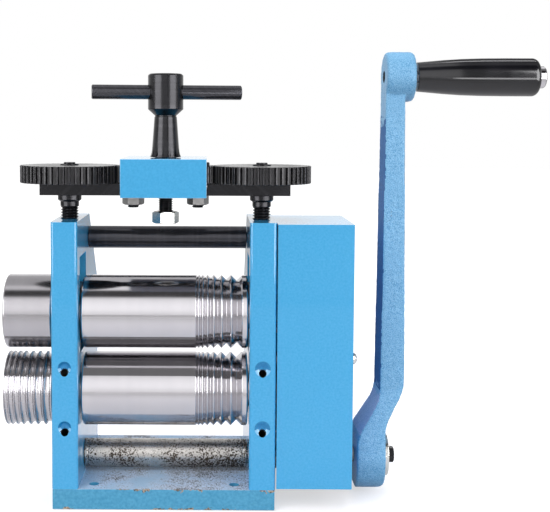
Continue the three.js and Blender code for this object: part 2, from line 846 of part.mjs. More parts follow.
// Screw in the drive shaft's left end
function shaftScrew() {
  const seat = -outerFace - 3 * fit - shaftWasherThickness;
  return turned('x', [
    [seat - shaftScrewHeadHeight, shaftScrewHeadRadius - rollChamfer],
    [seat - shaftScrewHeadHeight / 2, shaftScrewHeadRadius], [seat, shaftScrewHeadRadius],
    [seat, shaftScrewRadius], [-outerFace + shaftScrewLength - fit, shaftScrewRadius],
  ], screwFacets);
}

// Toothed wheel about X with a plain bore
function wheel(teeth, rootRadius, tipRadius, shares, width, bore) {
  return alongX(gearOutline(teeth, rootRadius, tipRadius, shares), 0, width)
    .subtract(rod('x', -overrun, width + overrun, bore + fit));
}

// One of the reduction gears
function reductionGear(teeth, bore) {
  const [root, tip] = reductionRadii(teeth);
  return wheel(teeth, root, tip, pitchToothShares, driveGearWidth, bore);
}

// Long-toothed gear that stays in mesh while the rolls move apart
function meshGear() {
  return wheel(meshTeeth, meshRootRadius, meshTipRadius, meshToothShares, meshGearWidth, gearSeatRadius);
}

// Headed stud that carries the idler
function idlerStud() {
  const end = driveGearStop + fit;
  return turned('x', [
    [outerFace - idlerStudSink, idlerStudRadius], [end, idlerStudRadius],
    [end, idlerStudHeadRadius], [end + idlerStudHeadHeight, idlerStudHeadRadius],
  ], screwFacets);
}

// Where the cover's posts stand on the right upright, in Y and Z
function coverPostPlaces() {
  const height = lowerRollHeight + rollSpacing / 2;
  return [rollAxisY - frontPostReach, rearY - rearPostEdge].map((y) => [y, height]);
}

// Sheet cover over the gears, open towards the upright and below
function gearCover() {
  const outside = alongX(sideOutline(coverBottom, frameTop - coverTopDrop, 0), coverStart, coverEnd);
  const top = frameTop - coverTopDrop - coverSheet;
  const inside = alongX(
    sideOutline(coverBottom - overrun, top, coverSheet), coverStart - overrun, coverInside,
  );
  const [before, past] = [coverInside - overrun, coverEnd + overrun];
  const holes = coverPostPlaces().map(([y, z]) => (
    rod('x', before, past, coverScrewRadius + fit, screwFacets, [0, y, z])
  ));
  const shaft = rod('x', before, past, coverShaftHole, rodFacets, [0, driveAxisY, driveHeight]);
  return [inside, shaft, ...holes].reduce((body, cut) => body.subtract(cut), outside);
}

// Stand-off post between the right upright and the cover's wall, tapped at its outer end
function coverPost() {
  const [near, far] = [outerFace + fit, coverInside - fit];
  const tenon = outerFace - coverScrewLength + fit;
  const tapped = coverEnd - coverScrewLength - fit;
  return turned('x', [
    [tenon, coverScrewRadius], [near, coverScrewRadius], [near, coverPostRadius], [far, coverPostRadius],
  ], screwFacets).subtract(rod('x', tapped, far + overrun, coverScrewRadius + fit, screwFacets));
}

// Dome-headed screw that holds the cover to a post
function coverScrew() {
  const seat = coverEnd + fit;
  const dome = [0, 1, 2, 3].map((i) => {
    const angle = (i * Math.PI) / (2 * 4);
    return [
      seat + coverScrewHeadHeight * Math.sin(angle), coverScrewHeadRadius * Math.cos(angle),
    ];
  });
  return turned('x', [
    [coverEnd - coverScrewLength, coverScrewRadius], [seat, coverScrewRadius], ...dome,
    [seat + coverScrewHeadHeight, coverScrewRadius / 2],
  ], screwFacets);
}

// Side view of the crank in X and Z: boss, dogleg and arm up to the top boss
function crankSide() {
  const bossOuter = crankBossStart + crankBossWidth;
  const armOuter = crankArmStart + crankArmThickness;
  const topInner = crankArmStart + crankArmLean;
  const bottom = driveHeight - crankBossRadius;
  return outline([
    [crankBossStart, bottom], [bossOuter, bottom], [bossOuter, driveHeight + crankBendOuterStart],
    [armOuter - crankBendSoftness, driveHeight + crankBendOuterEnd - crankBendSoftness],
    [armOuter, driveHeight + crankBendOuterEnd],
    [topInner + crankArmTopThickness, gripAxisHeight], [topInner, gripAxisHeight],
    [crankArmStart, driveHeight + crankBendInnerEnd],
    [crankBossStart, driveHeight + crankBendInnerStart],
  ]);
}

// Front view of the crank in Y and Z: round foot and tapering arm
function crankFace() {
  const half = crankArmWidth / 2;
  const topHalf = crankArmTopWidth / 2;
  const neck = driveHeight + crankBendOuterEnd;
  const shape = new THREE.Shape();
  shape.moveTo(driveAxisY - topHalf, gripAxisHeight);
  shape.lineTo(driveAxisY - half, neck);
  shape.absarc(driveAxisY, driveHeight, crankBossRadius, Math.PI, 2 * Math.PI, false);
  shape.lineTo(driveAxisY + half, neck);
  shape.lineTo(driveAxisY + topHalf, gripAxisHeight);
  return shape;
}

// The crank: one casting, bored for the shaft and for the grip's spindle
function crankArm() {
  const [before, past] = [crankBossStart - overrun, topBossStart + topBossWidth + overrun];
  const side = alongY(crankSide(), driveAxisY - crankBossRadius, driveAxisY + crankBossRadius);
  const face = alongX(crankFace(), before, past);
  const shaftBore = rod(
    'x', before, driveShaftEnd + fit, driveSeatRadius + fit, rodFacets, [0, driveAxisY, driveHeight],
  );
  const boltBore = rod(
    'x', before, past, crankBoltRadius + fit, screwFacets, [0, driveAxisY, driveHeight],
  );
  const boss = rod(
    'x', topBossStart, topBossStart + topBossWidth, topBossRadius, rodFacets,
    [0, driveAxisY, gripAxisHeight],
  );
  const spindleBore = rod(
    'x', before, past, spindleRadius + fit, screwFacets, [0, driveAxisY, gripAxisHeight],
  );
  return side.intersect(face).add(boss)
    .subtract(shaftBore)
    .subtract(boltBore)
    .subtract(spindleBore);
}

// Washer under the crank bolt
function crankWasher() {
  const left = crankBossStart + crankBossWidth + fit;
  const right = left + crankWasherThickness;
  return rod('x', left, right, crankWasherRadius)
    .subtract(rod('x', left - overrun, right + overrun, crankBoltRadius + fit, screwFacets));
}

// Hexagon bolt in the end of the drive shaft
function crankBolt() {
  const seat = crankBossStart + crankBossWidth + crankWasherThickness + 2 * fit;
  const head = alongX(hexagon(crankBoltFlats, 0), seat, seat + crankBoltHeadHeight);
  return head.add(rod('x', driveShaftEnd - crankBoltLength, seat + fit, crankBoltRadius, screwFacets));
}

// Spindle that the grip turns on, with a domed head
function gripSpindle() {
  const seat = topBossStart + topBossWidth + gripLength + 2 * fit;
  return turned('x', [
    [topBossStart + spindleRecess, spindleRadius], [seat, spindleRadius], [seat, spindleHeadRadius],
    [seat + spindleHeadHeight / 2, spindleHeadRadius], [seat + spindleHeadHeight, spindleRadius],
  ], rodFacets);
}

// The turning grip: widens outwards to a rounded end
function crankGrip() {
  const start = topBossStart + topBossWidth + fit;
  const end = start + gripLength;
  const round = [0, 1, 2, 3].map((i) => {
    const angle = (i * Math.PI) / (2 * 3);
    return [
      end - gripEndRound * (1 - Math.sin(angle)),
      gripOuterRadius - gripEndRound * (1 - Math.cos(angle)) * gripEndShare,
    ];
  });
  return turned('x', [[start, gripInnerRadius], ...round], rodFacets)
    .subtract(rod('x', start - overrun, end + overrun, spindleRadius + fit, screwFacets));
}

// Centres of the two housing screws, in X
function housingScrewPlaces() {
  return mirror.map((side) => (side * housingScrewSpacing) / 2);
}

// Bore for a housing screw, with the cone for its sunk head
function housingScrewHole(x) {
  const bore = housingScrewRadius + fit;
  const head = housingScrewHeadRadius + fit;
  return turned('z', [
    [bridgeBottom - overrun, bore], [bridgeTop - housingScrewHeadHeight, bore],
    [bridgeTop, head], [bridgeTop + fit / 2, head],
  ], screwFacets, [x, rollAxisY, 0]);
}

// Flat bridge plate that the pressure screws lift, milled down where the housing crosses it
function bridgePlate() {
  const [left, front] = [-bridgeLength / 2, rollAxisY - bridgeDepth / 2];
  const halfRecess = housingWidth / 2 + fit;
  const [below, above] = [bridgeBottom - overrun, bridgeTop + overrun];
  const plate = box([left, front, bridgeBottom], [-left, front + bridgeDepth, bridgeTop]);
  const recess = box(
    [-halfRecess, front - overrun, bridgeTop - bridgeRecess],
    [halfRecess, front + bridgeDepth + overrun, above],
  );
  const centre = [0, rollAxisY, 0];
  const cuts = [recess, rod('z', below, above, stemRadius + fit, rodFacets, centre)];
  for (const side of mirror) {
    const place = [side * screwX, rollAxisY, 0];
    cuts.push(rod('z', below, above, pressureScrewRadius + fit, rodFacets, place));
  }
  cuts.push(...housingScrewPlaces().map(housingScrewHole));
  return cuts.reduce((body, cut) => body.subtract(cut), plate);
}

// Gear housing: a block grooved for the bridge plate, with a slot across it for the centre gear
function gearHousing() {
  const halfWidth = housingWidth / 2;
  const [front, rear] = [rollAxisY - housingDepth / 2, rollAxisY + housingDepth / 2];
  const [slotFront, slotRear] = [front + housingWall, rear - housingWall];
  const floorBottom = bridgeTop - bridgeRecess + fit;
  const halfGroove = bridgeDepth / 2 + fit;
  const [grooveFront, grooveRear] = [rollAxisY - halfGroove, rollAxisY + halfGroove];
  const [before, past] = [-halfWidth - overrun, halfWidth + overrun];
  const block = box([-halfWidth, front, bridgeBottom], [halfWidth, rear, housingTop]);
  const cuts = [
    box([before, slotFront, bridgeTop], [past, slotRear, housingTop - housingRoof]),
    box([before, grooveFront, bridgeBottom - overrun], [past, grooveRear, floorBottom]),
    rod('z', bridgeBottom, gearBottom, stemRadius + fit, rodFacets, [0, rollAxisY, 0]),
    rod('z', gearBottom, housingTop + overrun, stemSeatRadius + fit, rodFacets, [0, rollAxisY, 0]),
    ...housingScrewPlaces().map(housingScrewHole),
  ];
  return cuts.reduce((body, cut) => body.subtract(cut), block);
}

// Countersunk screw through the housing's floor and the bridge plate
function housingScrew() {
  const top = bridgeTop - fit / 2;
  return turned('z', [
    [bridgeBottom - housingNutHeight - fit - housingScrewTail, housingScrewRadius - hubChamfer / 2],
    [bridgeBottom - housingNutHeight - fit - hubChamfer / 2, housingScrewRadius],
    [top - housingScrewHeadHeight, housingScrewRadius], [top, housingScrewHeadRadius],
  ], screwFacets);
}

// Hexagon nut with a plain bore, standing on the origin
function hexNut(flats, height, bore, turn) {
  return hexPrism(flats, height, turn)
    .subtract(rod('z', -overrun, height + overrun, bore + fit, screwFacets));
}

// Adjusting gear about Z, with a low boss on a gear that shows
function adjustingGear(bore, bossHeight) {
  const teeth = gearOutline(adjustTeeth, adjustRootRadius, adjustTipRadius, adjustToothShares);
  let gear = alongZ(teeth, 0, adjustGearHeight);
  if (bossHeight > 0) {
    gear = gear.add(rod('z', adjustGearHeight / 2, adjustGearHeight + bossHeight, adjustBossRadius));
  }
  return gear.subtract(rod('z', -overrun, adjustGearHeight + overrun, bore + fit));
}

// Pressure screw: bears on a bearing block, is trapped in the bridge and carries a gear
function pressureScrew() {
  const tip = blockTop + fit;
  const collar = bridgeBottom - fit;
  const head = gearTop + adjustBossHeight + pressureHeadHeight;
  const shape = turned('z', [
    [tip, pressureScrewTipRadius], [tip + pressureScrewTipLength, pressureScrewTipRadius],
    [tip + pressureScrewTipLength, pressureScrewRadius],
    [collar - pressureCollarHeight, pressureScrewRadius],
    [collar - pressureCollarHeight, pressureCollarRadius], [collar, pressureCollarRadius],
    [collar, pressureScrewRadius], [gearBottom - fit / 2, pressureScrewRadius],
    [gearBottom - fit / 2, adjustSeatRadius], [gearTop, adjustSeatRadius],
    [gearTop, pressureHeadRadius], [head, pressureHeadRadius],
  ], rodFacets);
  return shape.subtract(box(
    [-pressureHeadRadius - overrun, -pressureSlotWidth / 2, head - pressureSlotDepth],
    [pressureHeadRadius + overrun, pressureSlotWidth / 2, head + overrun],
  ));
}

// T-handle stem: stud, gear seat, flared cone and cross-drilled hub
function handleStem() {
  const flare = housingTop + fit;
  const cone = flare + stemFlareHeight;
  const neck = cone + stemConeHeight - stemFlareHeight;
  const hub = neck + stemNeckHeight + hubChamfer;
  const top = hub + hubHeight - hubChamfer;
  const stem = turned('z', [
    [bridgeBottom - stemLength, stemRadius], [gearBottom - fit / 2, stemRadius],
    [gearBottom - fit / 2, stemSeatRadius], [flare, stemSeatRadius],
    [flare, stemFlareRadius], [cone, stemLowerRadius], [neck, stemUpperRadius],
    [neck, stemNeckRadius], [neck + stemNeckHeight, stemNeckRadius],
    [hub, hubRadius], [top - hubChamfer, hubRadius], [top, hubRadius - hubChamfer],
  ], rodFacets);
  return stem.subtract(crossBarBore());
}

// Height of the cross bar's axis
function crossBarHeight() {
  return housingTop + fit + stemConeHeight + stemNeckHeight + hubHeight / 2 + crossBarLift;
}

// Cross hole in the hub
function crossBarBore() {
  const reach = hubRadius + overrun;
  return rod('x', -reach, reach, crossBarRadius + fit, rodFacets, [0, 0, crossBarHeight()]);
}

// The model
const model = new THREE.Group();
const add = (...pieces) => model.add(...pieces);
const sideName = { '-1': 'left', 1: 'right' };

function addFrame() {
  add(piece('base_plate', basePlate(), bluePaint));
  baseScrewPlaces().forEach(([x, y], i) => {
    add(piece(`base_screw_${i + 1}`, baseScrew(), blackOxide, x, y, 0));
  });
  for (const side of mirror) {
    const name = sideName[side];
    const lowerBush = bush(side, journalRadius, lowerBushWall);
    const driveBush = bush(side, driveJournalRadius, driveBushWall);
    add(
      piece(`${name}_upright`, upright(side), bluePaint),
      piece(`${name}_lower_bush`, lowerBush, bearingBronze, 0, rollAxisY, lowerRollHeight),
      piece(`${name}_drive_bush`, driveBush, bearingBronze, 0, driveAxisY, driveHeight),
      piece(`${name}_tie_bar_screw`, tieBarScrew(side), blackOxide, 0, tieBarY, tieBarHeight),
    );
  }
  add(piece('upper_tie_bar', upperTieBar(), blackOxide, 0, tieBarY, tieBarHeight));
}

function addGearCover() {
  add(piece('gear_cover', gearCover(), bluePaint));
  const names = ['front', 'rear'];
  coverPostPlaces().forEach(([y, z], i) => {
    add(piece(`${names[i]}_cover_post`, coverPost(), plainSteel, 0, y, z));
    add(piece(`${names[i]}_cover_screw`, coverScrew(), zincPlate, 0, y, z));
  });
}

function addRolls() {
  const lower = [rollAxisY, lowerRollHeight];
  const upper = [rollAxisY, upperRollHeight];
  add(
    piece('lower_roll', roll(driveGearStart - fit), groundSteel, 0, ...lower),
    piece('upper_roll', roll(meshGearStart - fit), groundSteel, 0, ...upper),
    piece('grooved_extension_roll', extensionRoll(groovedExtensionStations()), groundSteel, 0, ...lower),
    piece('plain_extension_roll', extensionRoll(plainExtensionStations()), groundSteel, 0, ...upper),
    piece('lower_extension_screw', extensionScrew(), blackOxide, 0, ...lower),
    piece('upper_extension_screw', extensionScrew(), blackOxide, 0, ...upper),
  );
  for (const side of mirror) {
    add(piece(`${sideName[side]}_bearing_block`, bearingBlock(side), castIron, 0, ...upper));
    const seat = windowBottom + fit + springWire / 2;
    const spring = liftSpring();
    add(piece(`${sideName[side]}_lift_spring`, spring, springSteel, side * uprightMiddle, rollAxisY, seat));
  }
}

function addGears() {
  const lowerMesh = piece(
    'lower_mesh_gear', meshGear(), plainSteel, meshGearStart, rollAxisY, lowerRollHeight,
  );
  const upperMesh = piece(
    'upper_mesh_gear', meshGear(), plainSteel, meshGearStart, rollAxisY, upperRollHeight,
  );
  lowerMesh.rotation.x = Math.PI / 2;
  upperMesh.rotation.x = Math.PI / 2 + Math.PI / meshTeeth;
  const toIdler = Math.atan2(idlerCentre.y - driveHeight, idlerCentre.x - driveAxisY);
  const toRoll = Math.atan2(lowerRollHeight - idlerCentre.y, rollAxisY - idlerCentre.x);
  const pinion = piece(
    'drive_pinion', reductionGear(pinionTeeth, driveSeatRadius), plainSteel,
    driveGearStart, driveAxisY, driveHeight,
  );
  const idler = piece(
    'idler_gear', reductionGear(idlerTeeth, idlerStudRadius), plainSteel,
    driveGearStart, idlerCentre.x, idlerCentre.y,
  );
  const driven = piece(
    'lower_drive_gear', reductionGear(driveGearTeeth, gearSeatRadius), plainSteel,
    driveGearStart, rollAxisY, lowerRollHeight,
  );
  const idlerTurn = toRoll + Math.PI / idlerTeeth;
  const pitchesAway = ((toIdler + Math.PI - idlerTurn) * idlerTeeth) / (2 * Math.PI);
  pinion.rotation.x = toIdler + ((pitchesAway + 1 / 2) * 2 * Math.PI) / pinionTeeth;
  idler.rotation.x = idlerTurn;
  driven.rotation.x = toRoll + Math.PI;
  const stud = piece('idler_stud', idlerStud(), plainSteel, 0, idlerCentre.x, idlerCentre.y);
  add(lowerMesh, upperMesh, pinion, idler, driven, stud);
}

function addDrive() {
  const axis = [driveAxisY, driveHeight];
  const grip = [driveAxisY, gripAxisHeight];
  add(
    piece('drive_shaft', driveShaft(), plainSteel, 0, ...axis),
    piece('shaft_end_washer', shaftWasher(), zincPlate, 0, ...axis),
    piece('shaft_end_screw', shaftScrew(), blackOxide, 0, ...axis),
    piece('crank_arm', crankArm(), castBlue),
    piece('crank_washer', crankWasher(), zincPlate, 0, ...axis),
    piece('crank_bolt', crankBolt(), blackOxide, 0, ...axis),
    piece('grip_spindle', gripSpindle(), plainSteel, 0, ...grip),
    piece('crank_grip', crankGrip(), blackGloss, 0, ...grip),
  );
}

function addAdjustment() {
  const stem = piece('t_handle_stem', handleStem(), blackOxide, 0, rollAxisY, 0);
  stem.rotation.z = THREE.MathUtils.degToRad(crossBarTurn);
  add(
    piece('bridge_plate', bridgePlate(), blackOxide),
    piece('gear_housing', gearHousing(), bluePaint),
    stem,
  );
  const nutBottom = bridgeBottom - fit - housingNutHeight;
  housingScrewPlaces().forEach((x, i) => {
    const name = sideName[mirror[i]];
    const nut = hexNut(housingNutFlats, housingNutHeight, housingScrewRadius, housingNutTurn);
    add(
      piece(`${name}_housing_screw`, housingScrew(), blackOxide, x, rollAxisY, 0),
      piece(`${name}_housing_nut`, nut, zincPlate, x, rollAxisY, nutBottom),
    );
  });
  const barEnd = crossBarLength / 2;
  const bar = chamferedRod(
    'x', crossBarShift - barEnd, crossBarShift + barEnd, crossBarRadius, crossBarChamfer,
  );
  const crossBar = piece('cross_bar', bar, blackOxide, 0, rollAxisY, crossBarHeight());
  crossBar.rotation.z = stem.rotation.z;
  const centre = adjustingGear(stemSeatRadius, 0);
  const lockNut = hexNut(lockNutFlats, lockNutHeight, stemRadius, lockNutTurn);
  add(
    crossBar,
    piece('centre_gear', centre, blackOxide, 0, rollAxisY, gearBottom),
    piece('lock_nut', lockNut, zincPlate, 0, rollAxisY, bridgeBottom - stemLength - lockNutTail),
  );
  for (const side of mirror) {
    const name = sideName[side];
    const gear = piece(
      `${name}_adjusting_gear`, adjustingGear(adjustSeatRadius, adjustBossHeight), blackOxide,
      side * screwX, rollAxisY, gearBottom,
    );
    gear.rotation.z = Math.PI / adjustTeeth;
    add(gear, piece(`${name}_pressure_screw`, pressureScrew(), blackOxide, side * screwX, rollAxisY, 0));
  }
}

if (springGap(springLine()) < springGapLimit) {
  throw new Error('the lift spring touches itself');
}
console.log(`least gap between the lift spring's curls: ${springGap(springLine()).toFixed(2)} mm`);

addFrame();
addGearCover();
addRolls();
addGears();
addDrive();
addAdjustment();

export default model;
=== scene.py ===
"""Looks of the hand-cranked rolling mill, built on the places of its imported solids.

Sizes are in millimetres here and become metres when a piece is finished. +X runs along the rolls
towards the crank, -Y is the side that work is fed from, and the origin is under the base plate.
"""

import logging
import math
from collections.abc import Callable, Sequence
from dataclasses import dataclass, field
from enum import Enum
from functools import lru_cache

import bmesh
import bpy
from mathutils import Matrix, Vector, noise


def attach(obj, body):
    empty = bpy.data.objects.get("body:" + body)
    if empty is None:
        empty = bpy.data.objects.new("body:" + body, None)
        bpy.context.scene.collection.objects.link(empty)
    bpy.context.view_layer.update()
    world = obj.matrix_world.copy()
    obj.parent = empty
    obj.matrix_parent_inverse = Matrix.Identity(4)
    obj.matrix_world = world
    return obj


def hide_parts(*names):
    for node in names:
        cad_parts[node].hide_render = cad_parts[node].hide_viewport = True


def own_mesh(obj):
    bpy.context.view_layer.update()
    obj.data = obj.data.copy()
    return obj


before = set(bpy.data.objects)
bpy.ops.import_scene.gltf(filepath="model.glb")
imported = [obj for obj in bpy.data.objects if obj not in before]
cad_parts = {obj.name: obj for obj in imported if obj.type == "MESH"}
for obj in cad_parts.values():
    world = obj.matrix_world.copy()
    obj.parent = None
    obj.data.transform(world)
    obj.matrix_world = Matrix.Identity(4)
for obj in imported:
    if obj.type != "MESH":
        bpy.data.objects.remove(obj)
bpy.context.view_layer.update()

MM = 0.001
LOG = logging.getLogger("rolling_mill")
Pair = tuple[float, float]
Place = tuple[float, float, float]
Picker = Callable[[Vector, Vector], int]

ROLL_Y = -31.0
LOWER_Z = 74.4
UPPER_Z = 127.8
DRIVE_Y = -19.8
DRIVE_Z = 25.4
GRIP_Z = 288.6
SCREW_X = 65.45
SIDES = (("left", -1), ("right", 1))


class Axis(Enum):
    """The axis that a form is turned about or pushed along."""

    X = 0
    Y = 1
    Z = 2

    def point(self, along: float, across: float, up: float) -> Vector:
        """A point from its place on the axis and its two places across it."""
        place = [0.0, 0.0, 0.0]
        place[self.value] = along
        place[(self.value + 1) % 3] = across
        place[(self.value + 2) % 3] = up
        return Vector(place)

    def turn(self) -> Matrix:
        """The turn that brings a form made about Z onto this axis."""
        columns = [self.point(0, 1, 0), self.point(0, 0, 1), self.point(1, 0, 0)]
        return Matrix([[column[row] for column in columns] for row in range(3)]).to_4x4()


class Body(Enum):
    """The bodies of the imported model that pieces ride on."""

    FRAME = "frame"
    DRIVE = "drive"
    GRIP = "grip"
    IDLER = "idler"
    LOWER_ROLLS = "lower_rolls"
    CARRIAGE = "carriage"
    UPPER_ROLLS = "upper_rolls"
    BRIDGE = "bridge"
    T_HANDLE = "t_handle"
    LEFT_SCREW = "left_screw"
    RIGHT_SCREW = "right_screw"


class Cut(Enum):
    """How one solid form acts on another."""

    AWAY = "DIFFERENCE"
    JOIN = "UNION"
    COMMON = "INTERSECT"


# Shader helpers


def linear(red: int, green: int, blue: int) -> tuple[float, float, float, float]:
    """A screen colour from 0 to 255 as the shader's linear colour."""
    parts = [value / 255 for value in (red, green, blue)]
    return (*[p / 12.92 if p <= 0.04045 else ((p + 0.055) / 1.055) ** 2.4 for p in parts], 1.0)


class Tree:
    """Adds and joins the nodes of one node tree."""

    def __init__(self, tree: bpy.types.NodeTree) -> None:
        """Keeps the tree.

        Args:
            tree: the tree that nodes are added to.
        """
        self.tree = tree

    def add(self, kind: str, inputs: dict | None = None, **settings) -> bpy.types.Node:
        """Adds a node.

        Args:
            kind: the node's type name.
            inputs: values or sockets for its inputs, by name or number.
            settings: the node's own properties.

        Returns:
            The new node.
        """
        node = self.tree.nodes.new(kind)
        for name, value in settings.items():
            setattr(node, name, value)
        for name, value in (inputs or {}).items():
            if isinstance(value, bpy.types.NodeSocket):
                self.tree.links.new(value, node.inputs[name])
            else:
                node.inputs[name].default_value = value
        return node

    def math(self, operation: str, first, second=0.0, third=0.0) -> bpy.types.NodeSocket:
        """The result of one sum on numbers or sockets."""
        node = self.add("ShaderNodeMath", {0: first, 1: second, 2: third}, operation=operation)
        return node.outputs[0]

    def ramp(self, value, low: float, high: float, start: float = 0.0, end: float = 1.0):
        """A value mapped from one range to another and clamped there."""
        node = self.add("ShaderNodeMapRange", {0: value, 1: low, 2: high, 3: start, 4: end})
        return node.outputs[0]

    def blend(self, mask, first, second) -> bpy.types.NodeSocket:
        """Two colours mixed by a mask."""
        node = self.add(
            "ShaderNodeMix", {"Factor": mask, 6: first, 7: second}, data_type="RGBA"
        )
        return node.outputs[2]

    def noise(self, vector, scale: float, detail: float = 2.0, roughness: float = 0.5):
        """The value of a noise texture."""
        return self.add("ShaderNodeTexNoise", {
            "Vector": vector, "Scale": scale, "Detail": detail, "Roughness": roughness,
        }).outputs[0]


def effect(name: str, inputs: dict[str, float | None], outputs: Sequence[str]):
    """Starts a shader node group.

    Args:
        name: the group's name.
        inputs: its inputs with their usual values; None stands for a vector.
        outputs: its outputs, all single values.

    Returns:
        The group, its tree helper, its input node and its output node.
    """
    group = bpy.data.node_groups.new(name, "ShaderNodeTree")
    for label, value in inputs.items():
        kind = "NodeSocketVector" if value is None else "NodeSocketFloat"
        socket = group.interface.new_socket(name=label, in_out="INPUT", socket_type=kind)
        if value is not None:
            socket.default_value = value
    for label in outputs:
        group.interface.new_socket(name=label, in_out="OUTPUT", socket_type="NodeSocketFloat")
    tree = Tree(group)
    return group, tree, tree.add("NodeGroupInput"), tree.add("NodeGroupOutput")


@lru_cache(maxsize=None)
def paint_grain() -> bpy.types.NodeTree:
    """The grain of sprayed paint: fine speckle, slow clouds and an orange-peel height."""
    group, tree, source, sink = effect(
        "paint_grain", {"Vector": None, "Speckle Scale": 700.0, "Peel Scale": 420.0},
        ["Speckle", "Cloud", "Height"],
    )
    place = source.outputs["Vector"]
    fine = tree.add("ShaderNodeTexNoise", {"Vector": place, "Detail": 1.5})
    tree.tree.links.new(source.outputs["Speckle Scale"], fine.inputs["Scale"])
    peel = tree.add("ShaderNodeTexNoise", {"Vector": place, "Detail": 2.0})
    tree.tree.links.new(source.outputs["Peel Scale"], peel.inputs["Scale"])
    for label, value in {
        "Speckle": tree.ramp(fine.outputs[0], 0.3, 0.7),
        "Cloud": tree.ramp(tree.noise(place, 22.0, 2.0), 0.3, 0.7),
        "Height": peel.outputs[0],
    }.items():
        tree.tree.links.new(value, sink.inputs[label])
    return group


@lru_cache(maxsize=None)
def turning_marks() -> bpy.types.NodeTree:
    """The fine rings that turning and grinding leave about X, on the side and the ends alike."""
    group, tree, source, sink = effect(
        "turning_marks", {"Vector": None, "Rings": 3000.0, "Bands": 160.0}, ["Height", "Band"],
    )
    split = tree.add("ShaderNodeSeparateXYZ", {0: source.outputs["Vector"]})
    x, y, z = split.outputs
    squares = tree.math("ADD", tree.math("MULTIPLY", y, y), tree.math("MULTIPLY", z, z))
    along = tree.math("ADD", x, tree.math("SQRT", squares))
    rings = tree.add("ShaderNodeTexNoise", {"W": along, "Detail": 3.0}, noise_dimensions="1D")
    tree.tree.links.new(source.outputs["Rings"], rings.inputs["Scale"])
    bands = tree.add("ShaderNodeTexNoise", {"W": along, "Detail": 2.0}, noise_dimensions="1D")
    tree.tree.links.new(source.outputs["Bands"], bands.inputs["Scale"])
    tree.tree.links.new(rings.outputs[0], sink.inputs["Height"])
    tree.tree.links.new(bands.outputs[0], sink.inputs["Band"])
    return group


@lru_cache(maxsize=None)
def stains() -> bpy.types.NodeTree:
    """Small spots and pits gathered in patches, such as rust, dirt and a dusting."""
    group, tree, source, sink = effect(
        "stains", {"Vector": None, "Spot Scale": 600.0, "Patch Scale": 40.0, "Amount": 0.5},
        ["Spots", "Patch"],
    )
    place = source.outputs["Vector"]
    spots = tree.add("ShaderNodeTexNoise", {"Vector": place, "Detail": 3.0, "Roughness": 0.6})
    tree.tree.links.new(source.outputs["Spot Scale"], spots.inputs["Scale"])
    patch = tree.add("ShaderNodeTexNoise", {"Vector": place, "Detail": 2.0})
    tree.tree.links.new(source.outputs["Patch Scale"], patch.inputs["Scale"])
    limit = tree.math("SUBTRACT", 0.86, tree.math("MULTIPLY", source.outputs["Amount"], 0.3))
    sum_of = tree.math("ADD", spots.outputs[0], tree.math(
        "MULTIPLY", tree.math("SUBTRACT", patch.outputs[0], 0.5), 0.6,
    ))
    sharp = tree.math("MULTIPLY", tree.math("SUBTRACT", sum_of, limit), 14.0)
    clamped = tree.math("MINIMUM", tree.math("MAXIMUM", sharp, 0.0), 1.0)
    tree.tree.links.new(clamped, sink.inputs["Spots"])
    tree.tree.links.new(tree.ramp(patch.outputs[0], 0.35, 0.65), sink.inputs["Patch"])
    return group


class Shader(Tree):
    """The material of one finish, with a Principled shader of its own."""

    def __init__(self, name: str) -> None:
        """Makes an empty material.

        Args:
            name: the material's name.
        """
        self.material = bpy.data.materials.new(name)
        self.material.use_nodes = True
        super().__init__(self.material.node_tree)
        self.tree.nodes.clear()
        self.surface = self.add("ShaderNodeBsdfPrincipled")
        self.add("ShaderNodeOutputMaterial", {"Surface": self.surface.outputs[0]})
        self.place = self.add("ShaderNodeTexCoord").outputs["Object"]

    def set(self, **values) -> None:
        """Sets or joins sockets of the Principled shader, with _ for a blank in a name."""
        for name, value in values.items():
            socket = self.surface.inputs[name.replace("_", " ")]
            if isinstance(value, bpy.types.NodeSocket):
                self.tree.links.new(value, socket)
            else:
                socket.default_value = value

    def group(self, tree: bpy.types.NodeTree, place, **values) -> bpy.types.Node:
        """Places a node group, reading a vector and with its own values."""
        node = self.add("ShaderNodeGroup", node_tree=tree)
        self.tree.links.new(place, node.inputs["Vector"])
        for name, value in values.items():
            node.inputs[name.replace("_", " ")].default_value = value
        return node

    def about(self, axis: Axis, centre: Place) -> bpy.types.NodeSocket:
        """Object coordinates moved and turned so that an axis of the object lies on X."""
        turn = {Axis.X: (0.0, 0.0, 0.0), Axis.Y: (0.0, 0.0, -math.pi / 2),
                Axis.Z: (0.0, math.pi / 2, 0.0)}[axis]
        moved = self.add("ShaderNodeMapping", {
            "Vector": self.place, "Location": tuple(-value * MM for value in centre),
        })
        return self.add("ShaderNodeMapping", {
            "Vector": moved.outputs[0], "Rotation": turn,
        }).outputs[0]

    def bump(self, height, depth: float, strength: float = 1.0) -> None:
        """Raises the surface by a height, whose full depth is in millimetres."""
        node = self.add("ShaderNodeBump", {
            "Height": height, "Distance": depth * MM, "Strength": strength,
        })
        self.tree.links.new(node.outputs[0], self.surface.inputs["Normal"])


@dataclass(frozen=True)
class Finish:
    """What all finishes have: a name and the record's slot."""

    name: str
    slot: str

    def build(self) -> bpy.types.Material:
        """The finish's material; each kind of finish has its own."""
        raise NotImplementedError


@lru_cache(maxsize=None)
def material_of(finish: Finish) -> bpy.types.Material:
    """The material of a finish, made once."""
    return finish.build()


